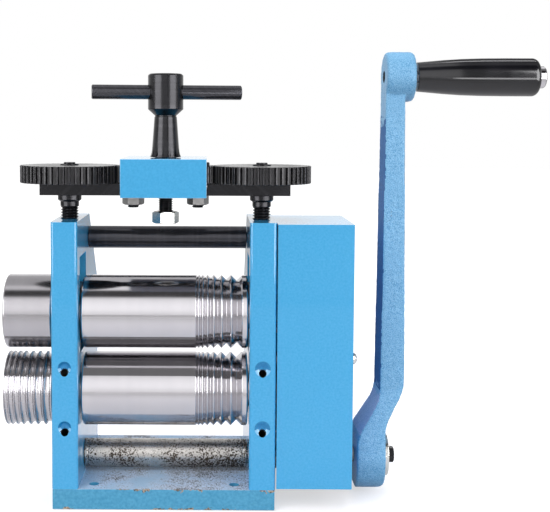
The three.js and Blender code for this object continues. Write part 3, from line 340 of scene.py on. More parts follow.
@dataclass(frozen=True)
class PowderCoat(Finish):
    """Smooth sprayed paint with a faint orange peel."""

    colour: tuple[int, int, int] = (57, 163, 217)
    pale: tuple[int, int, int] = (75, 175, 227)
    roughness: float = 0.34
    gloss: float = 1.0

    def build(self) -> bpy.types.Material:
        """Makes the paint.

        Returns:
            The material.
        """
        shader = Shader(self.name)
        grain = shader.group(paint_grain(), shader.place)
        mask = shader.math("MULTIPLY", grain.outputs["Speckle"], 0.8)
        colour = shader.blend(mask, linear(*self.colour), linear(*self.pale))
        cloudy = shader.blend(
            shader.math("MULTIPLY", grain.outputs["Cloud"], 0.25), colour, linear(*self.colour),
        )
        shader.set(
            Base_Color=cloudy, Specular_IOR_Level=0.1, Coat_Weight=self.gloss, Coat_Roughness=0.06,
            Roughness=shader.ramp(grain.outputs["Cloud"], 0.0, 1.0, self.roughness - 0.03,
                                  self.roughness + 0.05),
        )
        shader.bump(grain.outputs["Height"], 0.05, 0.5)
        return shader.material


@dataclass(frozen=True)
class BasePaint(Finish):
    """The base plate's duller paint: paler on top from a dusting and a painted sheen, with paint
    chipped off along its front edges.
    """

    colour: tuple[int, int, int] = (66, 146, 184)
    pale: tuple[int, int, int] = (84, 162, 198)
    dust_and_sheen: tuple[int, int, int] = (196, 208, 228)
    bare: tuple[int, int, int] = (176, 160, 142)
    scale: tuple[int, int, int] = (62, 60, 58)
    top: float = 13.6
    front: float = -63.0
    top_chips: tuple[Pair, ...] = ((-31, -9), (7, 26), (64, 74))
    foot_chips: tuple[Pair, ...] = ((-67, -60), (-7, 20), (27, 34), (39, 48))

    def chips(self, shader: Shader, windows: Sequence[Pair], edge: float):
        """The mask of chips along one front edge.

        Args:
            shader: the shader that the nodes go in.
            windows: where along X paint has come off, from and to.
            edge: the edge's height.

        Returns:
            A socket that is 1 on a chip.
        """
        split = shader.add("ShaderNodeSeparateXYZ", {0: shader.place}).outputs
        inside = 0.0
        for low, high in windows:
            near = shader.math("COMPARE", split[0], (low + high) / 2 * MM, (high - low) / 2 * MM)
            inside = shader.math("MAXIMUM", near, inside)
        reach = shader.math("MULTIPLY", shader.ramp(
            shader.noise(shader.place, 260.0, 3.0, 0.6), 0.42, 0.72, 0.0, 2.6,
        ), MM)
        away = shader.math("ABSOLUTE", shader.math("SUBTRACT", split[2], edge * MM))
        back = shader.math("ABSOLUTE", shader.math("SUBTRACT", split[1], self.front * MM))
        distance = shader.math("ADD", away, back)
        return shader.math("MULTIPLY", shader.math("LESS_THAN", distance, reach), inside)

    def build(self) -> bpy.types.Material:
        """Makes the paint with its dusting, painted top sheen and chips.

        Returns:
            The material.
        """
        shader = Shader(self.name)
        grain = shader.group(paint_grain(), shader.place, Speckle_Scale=560.0)
        paint = shader.blend(grain.outputs["Speckle"], linear(*self.colour), linear(*self.pale))
        up = shader.add("ShaderNodeSeparateXYZ", {
            0: shader.add("ShaderNodeNewGeometry").outputs["Normal"],
        }).outputs[2]
        dirt = shader.group(stains(), shader.place, Spot_Scale=1150.0, Patch_Scale=42.0, Amount=1.0)
        # Faces that look up are blended to a pale lavender, more in patches: a dusting, over a painted
        # sheen of the light from above.
        facing_up = shader.ramp(up, 0.6, 0.95)
        dust_and_top_sheen = shader.blend(
            shader.math("MULTIPLY", facing_up, shader.ramp(dirt.outputs["Patch"], 0, 1, 0.55, 1.0)),
            paint, linear(*self.dust_and_sheen),
        )
        specks = shader.math("MULTIPLY", facing_up, dirt.outputs["Spots"])
        speckled = shader.blend(specks, dust_and_top_sheen, linear(*self.scale))
        chipped = shader.math(
            "MAXIMUM", self.chips(shader, self.top_chips, self.top),
            self.chips(shader, self.foot_chips, 0.0),
        )
        metal = shader.blend(
            shader.ramp(shader.noise(shader.place, 900.0, 2.0), 0.4, 0.6),
            linear(*self.bare), linear(*self.scale),
        )
        shader.set(
            Base_Color=shader.blend(chipped, speckled, metal), Specular_IOR_Level=0.3,
            Roughness=shader.math("MAXIMUM", shader.math("MULTIPLY", chipped, 0.7), shader.ramp(
                facing_up, 0.0, 1.0, 0.4, 0.52,
            )),
        )
        height = shader.math("SUBTRACT", grain.outputs["Height"], shader.math(
            "ADD", shader.math("MULTIPLY", chipped, 2.0), shader.math("MULTIPLY", specks, 0.6),
        ))
        shader.bump(height, 0.09, 0.6)
        return shader.material


@dataclass(frozen=True)
class CastPaint(Finish):
    """Thick paint over a rough casting, mottled where it runs off the high spots."""

    deep: tuple[int, int, int] = (50, 128, 180)
    pale: tuple[int, int, int] = (134, 188, 222)
    roughness: float = 0.36

    def build(self) -> bpy.types.Material:
        """Makes the paint.

        Returns:
            The material.
        """
        shader = Shader(self.name)
        grain = shader.group(paint_grain(), shader.place, Speckle_Scale=1800.0, Peel_Scale=900.0)
        dirt = shader.group(stains(), shader.place, Spot_Scale=420.0, Patch_Scale=30.0, Amount=0.35)
        colour = shader.blend(grain.outputs["Speckle"], linear(*self.deep), linear(*self.pale))
        shader.set(
            Base_Color=shader.blend(
                shader.math("MULTIPLY", dirt.outputs["Spots"], 0.6), colour, linear(70, 72, 84),
            ),
            Roughness=shader.ramp(
                grain.outputs["Cloud"], 0.0, 1.0, self.roughness, self.roughness + 0.12,
            ),
        )
        height = shader.math("ADD", grain.outputs["Height"], shader.math(
            "MULTIPLY", grain.outputs["Speckle"], 0.5,
        ))
        shader.bump(height, 0.12, 0.7)
        return shader.material


@dataclass(frozen=True)
class TurnedSteel(Finish):
    """Bare metal with turning marks about an axis, and stains where it has them."""

    axis: Axis = Axis.X
    centre: Place = (0.0, 0.0, 0.0)
    colour: tuple[int, int, int] = (202, 200, 203)
    dark: tuple[int, int, int] = (190, 188, 192)
    stain: tuple[int, int, int] = (70, 62, 54)
    roughness: float = 0.13
    depth: float = 0.004
    stained: float = 0.0

    def build(self) -> bpy.types.Material:
        """Makes the metal.

        Returns:
            The material.
        """
        shader = Shader(self.name)
        marks = shader.group(turning_marks(), shader.about(self.axis, self.centre))
        smudge = shader.ramp(shader.noise(shader.place, 34.0, 3.0), 0.35, 0.7)
        tone = shader.math("MULTIPLY", shader.ramp(marks.outputs["Band"], 0.35, 0.7), 0.5)
        colour = shader.blend(
            shader.math("ADD", shader.math("MULTIPLY", tone, 0.4), shader.math(
                "MULTIPLY", smudge, 0.3,
            )),
            linear(*self.colour), linear(*self.dark),
        )
        rough = shader.ramp(smudge, 0.0, 1.0, self.roughness - 0.03, self.roughness + 0.06)
        height = marks.outputs["Height"]
        if self.stained > 0:
            rust = shader.group(
                stains(), shader.place, Spot_Scale=900.0, Patch_Scale=30.0, Amount=self.stained,
            )
            spots = rust.outputs["Spots"]
            colour = shader.blend(spots, colour, linear(*self.stain))
            rough = shader.math("ADD", rough, shader.math("MULTIPLY", spots, 0.35))
            height = shader.math("SUBTRACT", height, shader.math("MULTIPLY", spots, 3.0))
        shader.set(Base_Color=colour, Metallic=1.0, Roughness=rough)
        shader.bump(height, self.depth, 0.6)
        return shader.material


@dataclass(frozen=True)
class BlackOxide(Finish):
    """Blackened steel: nearly black, oily, with paler rubbed patches."""

    axis: Axis = Axis.Z
    centre: Place = (0.0, 0.0, 0.0)
    colour: tuple[int, int, int] = (30, 30, 33)
    rubbed: tuple[int, int, int] = (84, 83, 87)
    roughness: float = 0.2
    metallic: float = 0.6
    wear: float = 0.3

    def build(self) -> bpy.types.Material:
        """Makes the metal.

        Returns:
            The material.
        """
        shader = Shader(self.name)
        marks = shader.group(
            turning_marks(), shader.about(self.axis, self.centre), Rings=2200.0, Bands=260.0,
        )
        pale_marks = shader.group(
            stains(), shader.place, Spot_Scale=380.0, Patch_Scale=46.0, Amount=self.wear,
        )
        mask = shader.math("ADD", shader.math("MULTIPLY", pale_marks.outputs["Spots"], 0.7), shader.math(
            "MULTIPLY", shader.ramp(marks.outputs["Band"], 0.45, 0.75), 0.12,
        ))
        shader.set(
            Base_Color=shader.blend(mask, linear(*self.colour), linear(*self.rubbed)),
            Metallic=self.metallic,
            Roughness=shader.ramp(
                pale_marks.outputs["Patch"], 0.0, 1.0, self.roughness - 0.05, self.roughness + 0.08,
            ),
        )
        shader.bump(marks.outputs["Height"], 0.012, 0.5)
        return shader.material


@dataclass(frozen=True)
class GlossPlastic(Finish):
    """Hard black plastic, polished, with a few fine scratches."""

    colour: tuple[int, int, int] = (16, 16, 20)

    def build(self) -> bpy.types.Material:
        """Makes the plastic.

        Returns:
            The material.
        """
        shader = Shader(self.name)
        marks = shader.group(turning_marks(), shader.place, Rings=900.0, Bands=60.0)
        haze = shader.ramp(shader.noise(shader.place, 60.0, 4.0), 0.35, 0.75)
        shader.set(
            Base_Color=shader.blend(haze, linear(*self.colour), linear(24, 24, 29)),
            Roughness=shader.ramp(haze, 0.0, 1.0, 0.08, 0.17),
            Specular_IOR_Level=0.6,
        )
        shader.bump(marks.outputs["Height"], 0.004, 0.4)
        return shader.material


BLUE = PowderCoat("blue_powder_coat", "blue_paint")
HOUSING_BLUE = PowderCoat("housing_powder_coat", "blue_paint", (36, 158, 213), (54, 169, 223), 0.36)
# Darker blue painted in the upper half of each oil sink, as shade.
SHADED_BLUE = PowderCoat("oil_sink_painted_shade", "blue_paint", (30, 122, 178), (46, 142, 196), 0.4, 0.5)
# Paler blue painted on bevelled edges and on the lower half of each oil sink, as a highlight.
EDGE_HIGHLIGHT_BLUE = PowderCoat("edge_painted_highlight", "blue_paint", (120, 190, 234), (150, 206, 240), 0.3)
BASE_BLUE = BasePaint("base_paint", "base_paint")
CAST_BLUE = CastPaint("crank_hammered_paint", "hammered_blue")
# Navy painted on the crank arm's inner side, as shade.
CAST_SHADE_NAVY = CastPaint("crank_inner_side_painted_shade", "hammered_blue", (32, 74, 126), (56, 110, 164), 0.75)
# Pale lavender painted on the crank's inner bend, as a sheen.
CAST_BEND_SHEEN = CastPaint("crank_inner_bend_painted_sheen", "hammered_blue", (118, 142, 190), (196, 202, 228), 0.4)
LOWER_GROUND = TurnedSteel(
    "lower_roll_ground_steel", "ground_steel", centre=(0, ROLL_Y, LOWER_Z), colour=(200, 198, 201),
    dark=(188, 186, 190),
)
UPPER_GROUND = TurnedSteel("upper_roll_ground_steel", "ground_steel", centre=(0, ROLL_Y, UPPER_Z))
PLAIN_GROUND = TurnedSteel(
    "plain_extension_steel", "ground_steel", centre=(0, ROLL_Y, UPPER_Z), colour=(180, 178, 181),
    dark=(168, 166, 170), roughness=0.17,
)
GROOVED_GROUND = TurnedSteel(
    "grooved_extension_steel", "ground_steel", centre=(0, ROLL_Y, LOWER_Z), colour=(186, 184, 187),
    dark=(170, 168, 172), roughness=0.27,
)
UNDERSIDE = TurnedSteel(
    "milled_underside", "plain_steel", Axis.Z, (0, ROLL_Y, 0), (126, 126, 132), (100, 100, 106),
    roughness=0.3, depth=0.008,
)
SHAFT_STEEL = TurnedSteel(
    "drive_shaft_steel", "shaft_steel", centre=(0, DRIVE_Y, DRIVE_Z), colour=(188, 186, 182),
    dark=(150, 147, 144), roughness=0.28, depth=0.006, stained=1.15,
)
GEAR_STEEL = TurnedSteel(
    "gear_steel", "plain_steel", centre=(0, ROLL_Y, LOWER_Z), colour=(150, 150, 148),
    dark=(112, 110, 106), roughness=0.36, depth=0.01, stained=0.2,
)
ZINC = TurnedSteel(
    "zinc_plate", "zinc_plate", Axis.Z, (0, ROLL_Y, 0), (214, 214, 210), (176, 177, 172),
    (110, 108, 96), 0.24, 0.006, 0.15,
)
DULL_ZINC = TurnedSteel(
    "dull_zinc_plate", "zinc_plate", Axis.Z, (0, ROLL_Y, 0), (150, 149, 148), (112, 111, 110),
    (70, 66, 60), 0.3, 0.006, 0.3,
)
BRONZE = TurnedSteel(
    "bearing_bronze", "bearing_bronze", centre=(0, ROLL_Y, LOWER_Z), colour=(196, 150, 86),
    dark=(156, 112, 60), roughness=0.34, depth=0.01,
)
BLOCK_IRON = BlackOxide(
    "bearing_block_iron", "block_iron", Axis.X, (0, ROLL_Y, UPPER_Z), (66, 68, 74), (112, 112, 116),
    0.42, 0.8,
)
SPRING = TurnedSteel(
    "spring_steel", "spring_steel", Axis.Z, colour=(120, 122, 126), dark=(84, 86, 92), roughness=0.3,
)
BLACK = BlackOxide("black_oxide", "black_oxide", Axis.Z, (0, ROLL_Y, 0))
# Paler gear bevels: rubbed wear, and a painted glint along the teeth.
RUBBED_AND_GLINT = BlackOxide("rubbed_edge_and_glint", "black_oxide", Axis.Z, (0, ROLL_Y, 0), (92, 91, 94),
                    (186, 185, 188), 0.26, 0.95)
GEAR_BLACK = BlackOxide("gear_black", "black_oxide", Axis.Z, (0, ROLL_Y, 0), (17, 17, 19),
                        (60, 59, 62), 0.24, 0.5)
BLACK_BAR = BlackOxide("black_bar", "black_oxide", Axis.X, (0, 6.8, 175), (64, 64, 69), (116, 114, 119))
# Near-black painted into bores and into the gaps between gear teeth, as the shade in them.
BORE_SHADE = BlackOxide("bore_painted_shade", "black_oxide", colour=(10, 10, 13), rubbed=(20, 20, 24),
                  roughness=0.6, metallic=0.2)
GRIP_BLACK = GlossPlastic("grip_black_plastic", "black_gloss")


# Mesh helpers


def scratch_object(form: bmesh.types.BMesh) -> bpy.types.Object:
    """An object that holds a form while it is worked on, and frees the form."""
    mesh = bpy.data.meshes.new("work")
    form.to_mesh(mesh)
    form.free()
    work = bpy.data.objects.new("work", mesh)
    bpy.context.scene.collection.objects.link(work)
    return work


def evaluated_mesh(work: bpy.types.Object) -> bpy.types.Mesh:
    """The plain mesh of an object with its modifiers applied."""
    bpy.context.view_layer.update()
    graph = bpy.context.evaluated_depsgraph_get()
    return bpy.data.meshes.new_from_object(
        work.evaluated_get(graph), preserve_all_data_layers=True, depsgraph=graph,
    )


def discard(works: Sequence[bpy.types.Object]) -> None:
    """Removes objects that were only worked with."""
    for work in works:
        mesh = work.data
        bpy.data.objects.remove(work)
        bpy.data.meshes.remove(mesh)


def form_of(mesh: bpy.types.Mesh) -> bmesh.types.BMesh:
    """A mesh as a form that can be worked on; the mesh is removed."""
    form = bmesh.new()
    form.from_mesh(mesh)
    bpy.data.meshes.remove(mesh)
    return form


def cut(form: bmesh.types.BMesh, tools: Sequence[bmesh.types.BMesh], how: Cut = Cut.AWAY):
    """Cuts, joins or crosses a form with others.

    Args:
        form: the form that is worked on, used up.
        tools: the other forms, used up.
        how: what each of them does to it.

    Returns:
        The new form.
    """
    base = scratch_object(form)
    helpers = [scratch_object(tool) for tool in tools]
    for helper in helpers:
        step = base.modifiers.new("cut", "BOOLEAN")
        step.operation = how.value
        step.solver = "EXACT"
        step.object = helper
    result = form_of(evaluated_mesh(base))
    discard([base, *helpers])
    return result


def softened(points: Sequence[Pair], reach: float, closed: bool = False) -> list[Pair]:
    """A profile with its sharp corners rounded.

    Args:
        points: the profile's corners in order.
        reach: how far from a corner its rounding starts, at most.
        closed: whether the last corner joins the first.

    Returns:
        The rounded profile.
    """
    if reach <= 0:
        return list(points)
    vectors = [Vector(point) for point in points]
    last = len(vectors) - 1
    rounded: list[Pair] = []
    for i, corner in enumerate(vectors):
        if not closed and i in (0, last):
            rounded.append(tuple(corner))
            continue
        before = vectors[i - 1] - corner
        after = vectors[(i + 1) % len(vectors)] - corner
        if before.length < 1e-6 or after.length < 1e-6 or before.angle(after) > math.radians(158):
            rounded.append(tuple(corner))
            continue
        near = min(reach, before.length * 0.4, after.length * 0.4)
        start, end = corner + before.normalized() * near, corner + after.normalized() * near
        for share in (0.0, 1 / 3, 2 / 3, 1.0):
            rest = 1 - share
            point = start * rest ** 2 + corner * (2 * share * rest) + end * share ** 2
            rounded.append(tuple(point))
    return rounded


def lathe(
    stations: Sequence[Pair], axis: Axis = Axis.X, centre: Pair = (0.0, 0.0), facets: int = 96,
    soften: float = 0.25, ring: bool = False,
) -> bmesh.types.BMesh:
    """Turns a profile about an axis.

    Args:
        stations: pairs of a place on the axis and a radius, in order.
        axis: the axis that the form lies along.
        centre: the axis's two places across, in the order of Axis.point.
        facets: how many facets go round.
        soften: how far the corners are rounded.
        ring: whether the profile closes on itself, for a form with a bore.

    Returns:
        The closed form.
    """
    ends = [(stations[0][0], 0.0)], [(stations[-1][0], 0.0)]
    profile = list(stations) if ring else [*ends[0], *stations, *ends[1]]
    profile = softened(profile, soften, ring)
    form = bmesh.new()
    rows = []
    for along, radius in profile:
        if radius < 1e-6:
            rows.append([form.verts.new(axis.point(along, *centre))] * facets)
            continue
        rows.append([
            form.verts.new(axis.point(
                along, centre[0] + radius * math.cos(2 * math.pi * i / facets),
                centre[1] + radius * math.sin(2 * math.pi * i / facets),
            )) for i in range(facets)
        ])
    pairs = list(zip(rows, rows[1:]))
    if ring:
        pairs.append((rows[-1], rows[0]))
    for low, high in pairs:
        for i in range(facets):
            j = (i + 1) % facets
            corners = list(dict.fromkeys((low[i], low[j], high[j], high[i])))
            if len(corners) > 2:
                form.faces.new(corners)
    bmesh.ops.recalc_face_normals(form, faces=form.faces)
    return form


def prism(points: Sequence[Pair], axis: Axis, low: float, high: float) -> bmesh.types.BMesh:
    """Pushes a flat outline along an axis.

    Args:
        points: the outline's corners, in the two places across the axis.
        axis: the axis that it is pushed along.
        low: where it starts.
        high: where it ends.

    Returns:
        The closed form.
    """
    form = bmesh.new()
    near = [form.verts.new(axis.point(low, *point)) for point in points]
    far = [form.verts.new(axis.point(high, *point)) for point in points]
    form.faces.new(near)
    form.faces.new(far)
    for i in range(len(points)):
        j = (i + 1) % len(points)
        form.faces.new((near[i], near[j], far[j], far[i]))
    bmesh.ops.recalc_face_normals(form, faces=form.faces)
    return form


def box(low: Place, high: Place) -> bmesh.types.BMesh:
    """A box between two corners."""
    corners = [(low[1], low[2]), (high[1], low[2]), (high[1], high[2]), (low[1], high[2])]
    return prism(corners, Axis.X, low[0], high[0])


def rod(axis: Axis, low: float, high: float, radius: float, centre: Pair, facets: int = 48):
    """A plain cylinder, used as a cutter."""
    return lathe([(low, radius), (high, radius)], axis, centre, facets, 0.0)


def strut(start: Place, end: Place, radius: float, facets: int = 40) -> bmesh.types.BMesh:
    """A plain cylinder between two points."""
    run = Vector(end) - Vector(start)
    form = rod(Axis.Z, 0.0, run.length, radius, (0.0, 0.0), facets)
    turn = Vector((0, 0, 1)).rotation_difference(run).to_matrix().to_4x4()
    bmesh.ops.transform(form, matrix=Matrix.Translation(start) @ turn, verts=form.verts)
    return form


def hexagon(flats: float, turn: float = 0.0, centre: Pair = (0.0, 0.0)) -> list[Pair]:
    """The corners of a hexagon of a size across flats, turned by degrees."""
    corner = flats / math.sqrt(3)
    angles = [math.radians(60 * i + turn) for i in range(6)]
    return [(centre[0] + corner * math.cos(a), centre[1] + corner * math.sin(a)) for a in angles]


def threaded(
    low: float, high: float, radius: float, pitch: float, axis: Axis, centre: Pair,
    facets: int = 40, chamfer: float = 1.0,
) -> bmesh.types.BMesh:
    """A rod with a helical thread cut in it.

    Args:
        low: where it starts on its axis.
        high: where it ends.
        radius: its outside radius.
        pitch: the thread's pitch.
        axis: the axis that it lies along.
        centre: the axis's two places across.
        facets: how many facets go round.
        chamfer: how much the low end is chamfered.

    Returns:
        The closed form.
    """
    depth = 0.6 * pitch
    steps = max(8, round((high - low) / pitch * 8))
    profile = []
    for k in range(steps + 1):
        profile.append(low + (high - low) * k / steps)
    form = bmesh.new()
    rows = []
    for along in profile:
        row = []
        for i in range(facets):
            phase = (along / pitch - i / facets) % 1.0
            crest = min(1.0, max(0.0, abs(phase - 0.5) * 2.6 - 0.25))
            tapered = min(radius, radius - chamfer + (along - low))
            reach = min(radius - depth * crest, tapered)
            angle = 2 * math.pi * i / facets
            row.append(form.verts.new(axis.point(
                along, centre[0] + reach * math.cos(angle), centre[1] + reach * math.sin(angle),
            )))
        rows.append(row)
    for lower, upper in zip(rows, rows[1:]):
        for i in range(facets):
            j = (i + 1) % facets
            form.faces.new((lower[i], lower[j], upper[j], upper[i]))
    form.faces.new(rows[0])
    form.faces.new(rows[-1])
    bmesh.ops.recalc_face_normals(form, faces=form.faces)
    return form


def merged(forms: Sequence[bmesh.types.BMesh]) -> bmesh.types.BMesh:
    """Several closed forms as one, each still closed; the forms are used up."""
    whole = bmesh.new()
    for form in forms:
        mesh = bpy.data.meshes.new("part")
        form.to_mesh(mesh)
        form.free()
        whole.from_mesh(mesh)
        bpy.data.meshes.remove(mesh)
    return whole


def publish(
    name: str, form: bmesh.types.BMesh, finishes: Sequence[Finish], body: Body,
    nodes: Sequence[str] = (), edge: float = 0.0, pick: Picker | None = None, keep: float = 35.0,
    pale_marks: bool = False,
) -> bpy.types.Object:
    """Finishes a form: softens its edges, dresses it and lets it ride.

    Args:
        name: the piece's name.
        form: its form in millimetres, used up.
        finishes: its finishes; the first is used where nothing is picked.
        body: the body that it rides on.
        nodes: the nodes that it stands for.
        edge: how wide its sharp edges are bevelled.
        pick: gives a finish's number from a face's centre and direction.
        keep: the least angle of an edge that stays sharp or is bevelled.
        pale_marks: whether the bevels show the last finish, a painted highlight on blue pieces and
            rubbed wear with a painted glint on gears.

    Returns:
        The finished piece.
    """
    work = scratch_object(form)
    work.data.shade_smooth()
    work.data.set_sharp_from_angle(angle=math.radians(keep))
    work.data.materials.clear()
    for finish in finishes:
        work.data.materials.append(material_of(finish))
    work.data.polygons.foreach_set("material_index", [0] * len(work.data.polygons))
    if edge > 0:
        bevel = work.modifiers.new("edge", "BEVEL")
        bevel.width = edge
        bevel.segments = 2
        bevel.limit_method = "ANGLE"
        bevel.angle_limit = math.radians(keep)
        bevel.material = len(finishes) - 1 if pale_marks else -1
    even = work.modifiers.new("even", "WEIGHTED_NORMAL")
    even.keep_sharp = True
    mesh = evaluated_mesh(work)
    discard([work])
    mesh.name = name
    for face in mesh.polygons:
        if pick and not (pale_marks and face.material_index):
            face.material_index = pick(face.center, face.normal)
    mesh.transform(Matrix.Scale(MM, 4))
    piece = bpy.data.objects.new(name, mesh)
    bpy.context.scene.collection.objects.link(piece)
    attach(piece, body.value)
    if nodes:
        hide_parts(*nodes)
    LOG.info("%s: %d faces on %s", name, len(mesh.polygons), body.value)
    return piece


# Geometry Nodes for what repeats


class Geometry(Tree):
    """A Geometry Nodes tree with named inputs, run once on an object."""

    def __init__(self, name: str, inputs: dict[str, tuple[str, object]]) -> None:
        """Starts a tree that takes geometry and named values.

        Args:
            name: the tree's name.
            inputs: each input's socket type and value.
        """
        super().__init__(bpy.data.node_groups.new(name, "GeometryNodeTree"))
        face = self.tree.interface
        face.new_socket(name="Geometry", in_out="INPUT", socket_type="NodeSocketGeometry")
        face.new_socket(name="Geometry", in_out="OUTPUT", socket_type="NodeSocketGeometry")
        self.sockets = {
            label: face.new_socket(name=label, in_out="INPUT", socket_type=kind)
            for label, (kind, _) in inputs.items()
        }
        self.values = {label: value for label, (_, value) in inputs.items()}
        self.source = self.add("NodeGroupInput")
        self.sink = self.add("NodeGroupOutput")

    def run(self, form: bmesh.types.BMesh) -> bmesh.types.BMesh:
        """Applies the tree to a form.

        Args:
            form: the form, used up.

        Returns:
            What the tree makes of it.
        """
        work = scratch_object(form)
        step = work.modifiers.new("repeat", "NODES")
        step.node_group = self.tree
        for label, socket in self.sockets.items():
            step[socket.identifier] = self.values[label]
        result = form_of(evaluated_mesh(work))
        discard([work])
        return result


def ring_of_copies(form: bmesh.types.BMesh, count: int, phase: float) -> bmesh.types.BMesh:
    """Repeats a form round Z, joined where the copies touch.

    Args:
        form: one copy, used up.
        count: how many there are.
        phase: the first copy's turn in radians.

    Returns:
        All copies as one form.
    """
    tree = Geometry("ring_of_copies", {
        "Count": ("NodeSocketInt", count), "Phase": ("NodeSocketFloat", phase),
        "Material": ("NodeSocketMaterial", material_of(BLACK)),
    })
    points = tree.add("GeometryNodePoints", {"Count": tree.source.outputs["Count"]})
    step = tree.math("DIVIDE", 2 * math.pi, tree.source.outputs["Count"])
    index = tree.add("GeometryNodeInputIndex").outputs[0]
    angle = tree.math("ADD", tree.math("MULTIPLY", index, step), tree.source.outputs["Phase"])
    turn = tree.add("ShaderNodeCombineXYZ", {2: angle}).outputs[0]
    copies = tree.add("GeometryNodeInstanceOnPoints", {
        "Points": points.outputs[0], "Instance": tree.source.outputs["Geometry"],
        "Rotation": turn,
    })
    real = tree.add("GeometryNodeRealizeInstances", {0: copies.outputs[0]})
    joined = tree.add("GeometryNodeMergeByDistance", {
        "Geometry": real.outputs[0], "Distance": 0.0005,
    })
    dressed = tree.add("GeometryNodeSetMaterial", {
        "Geometry": joined.outputs[0], "Material": tree.source.outputs["Material"],
    })
    tree.tree.links.new(dressed.outputs[0], tree.sink.inputs[0])
    result = tree.run(form)
    bmesh.ops.recalc_face_normals(result, faces=result.faces)
    return result


def coil(radius: float, wire: float, height: float, turns: float, seat: Place):
    """A spring: wire swept along a rising curl.

    Args:
        radius: the curl's radius to the wire's middle.
        wire: the wire's radius.
        height: how far the wire's middle climbs.
        turns: how many curls there are.
        seat: where the wire's middle starts.

    Returns:
        The closed form.
    """
    tree = Geometry("coil", {
        "Radius": ("NodeSocketFloat", radius), "Wire": ("NodeSocketFloat", wire),
        "Height": ("NodeSocketFloat", height), "Turns": ("NodeSocketFloat", turns),
        "Material": ("NodeSocketMaterial", material_of(SPRING)),
    })
    given = tree.source.outputs
    curl = tree.add("GeometryNodeCurveSpiral", {
        "Resolution": 40, "Rotations": given["Turns"], "Start Radius": given["Radius"],
        "End Radius": given["Radius"], "Height": given["Height"],
    })
    wire_ring = tree.add("GeometryNodeCurvePrimitiveCircle", {
        "Resolution": 16, "Radius": given["Wire"],
    })
    swept = tree.add("GeometryNodeCurveToMesh", {
        "Curve": curl.outputs[0], "Profile Curve": wire_ring.outputs[0], "Fill Caps": True,
    })
    real = tree.add("GeometryNodeRealizeInstances", {0: swept.outputs[0]})
    dressed = tree.add("GeometryNodeSetMaterial", {
        "Geometry": real.outputs[0], "Material": given["Material"],
    })
    tree.tree.links.new(dressed.outputs[0], tree.sink.inputs[0])
    form = tree.run(bmesh.new())
    bmesh.ops.translate(form, vec=seat, verts=form.verts)
    bmesh.ops.recalc_face_normals(form, faces=form.faces)
    return form


@dataclass(frozen=True)
class Toothing:
    """The teeth of a wheel: their number, radii and half thicknesses as shares of the pitch."""

    teeth: int
    root: float
    tip: float
    shares: tuple[float, ...]
    bore: float
    width: float
    chamfer: float = 0.5

    def tooth(self) -> bmesh.types.BMesh:
        """One tooth about Z with its part of the rim and of the bore.

        Returns:
            The open form, whose edges meet those of its neighbours.
        """
        pitch = 2 * math.pi / self.teeth
        rise = (self.tip - self.root) / (len(self.shares) - 1)
        flank = [(self.root + i * rise, share * pitch) for i, share in enumerate(self.shares)]
        outer = [(self.root, -pitch / 2), *[(r, -a) for r, a in flank],
                 *reversed(flank), (self.root, pitch / 2)]
        inner = [(self.bore, -pitch / 2), (self.bore, 0.0), (self.bore, pitch / 2)]
        levels = [
            (0.0, self.chamfer), (self.chamfer, 0.0),
            (self.width - self.chamfer, 0.0), (self.width, self.chamfer),
        ]
        form = bmesh.new()

        def row(points: Sequence[Pair], height: float, less: float) -> list:
            """The corners of one level, kept inside the tip's chamfer."""
            return [form.verts.new((
                min(r, self.tip - less) * math.cos(a), min(r, self.tip - less) * math.sin(a), height,
            )) for r, a in points]

        rims = [row(outer, height, less) for height, less in levels]
        bores = [row(inner, 0.0, 0.0), row(inner, self.width, 0.0)]
        for low, high in zip(rims, rims[1:]):
            for i in range(len(outer) - 1):
                form.faces.new((low[i], low[i + 1], high[i + 1], high[i]))
        for i in range(len(inner) - 1):
            form.faces.new((bores[0][i + 1], bores[0][i], bores[1][i], bores[1][i + 1]))
        form.faces.new([*reversed(rims[0]), *bores[0]])
        form.faces.new([*rims[-1], *reversed(bores[1])])
        return form

    def wheel(self, axis: Axis, start: float, centre: Pair, phase: float) -> bmesh.types.BMesh:
        """The whole wheel on its axis.

        Args:
            axis: the axis that it turns about.
            start: where it starts on that axis.
            centre: the axis's two places across.
            phase: the first tooth's turn in radians.

        Returns:
            The closed form.
        """
        form = ring_of_copies(self.tooth(), self.teeth, phase)
        move = Matrix.Translation(axis.point(start, *centre)) @ axis.turn()
        bmesh.ops.transform(form, matrix=move, verts=form.verts)
        return form


def hex_nut(flats: float, low: float, high: float, bore: float, turn: float, centre: Pair):
    """A hexagon nut about Z with chamfered corners and a countersunk bore.

    Args:
        flats: its size across flats.
        low: its lower face.
        high: its upper face.
        bore: the bore's radius.
        turn: its turn in degrees.
        centre: its place in X and Y.

    Returns:
        The closed form.
    """
    corner = flats / math.sqrt(3)
    drop = (corner - flats / 2) * 0.75
    cone = lathe([
        (low, corner - drop * 1.7), (low + drop, corner + 0.02),
        (high - drop, corner + 0.02), (high, corner - drop * 1.7),
    ], Axis.Z, centre, 120, 0.0)
    blank = cut(prism(hexagon(flats, turn, centre), Axis.Z, low, high), [cone], Cut.COMMON)
    hole = lathe([
        (low - 1, bore + 1.6), (low + 0.6, bore), (high - 0.6, bore), (high + 1, bore + 1.6),
    ], Axis.Z, centre, 48, 0.0)
    return cut(blank, [hole])


def cap_screw(
    stations: Sequence[Pair], axis: Axis, centre: Pair, face: float, depth: float, flats: float,
) -> bmesh.types.BMesh:
    """A turned screw with a hexagon socket in its head.

    Args:
        stations: the screw's profile.
        axis: the axis that it lies along.
        centre: the axis's two places across.
        face: where the head's outer face is.
        depth: how far the socket goes in; below zero towards the axis's low end.
        flats: the socket's size across flats.

    Returns:
        The closed form.
    """
    ends = sorted((face - math.copysign(1.0, depth), face + depth))
    socket = prism(hexagon(flats, 12.0, centre), axis, *ends)
    return cut(lathe(stations, axis, centre, 64, 0.3), [socket])


# The mill's sub-assemblies


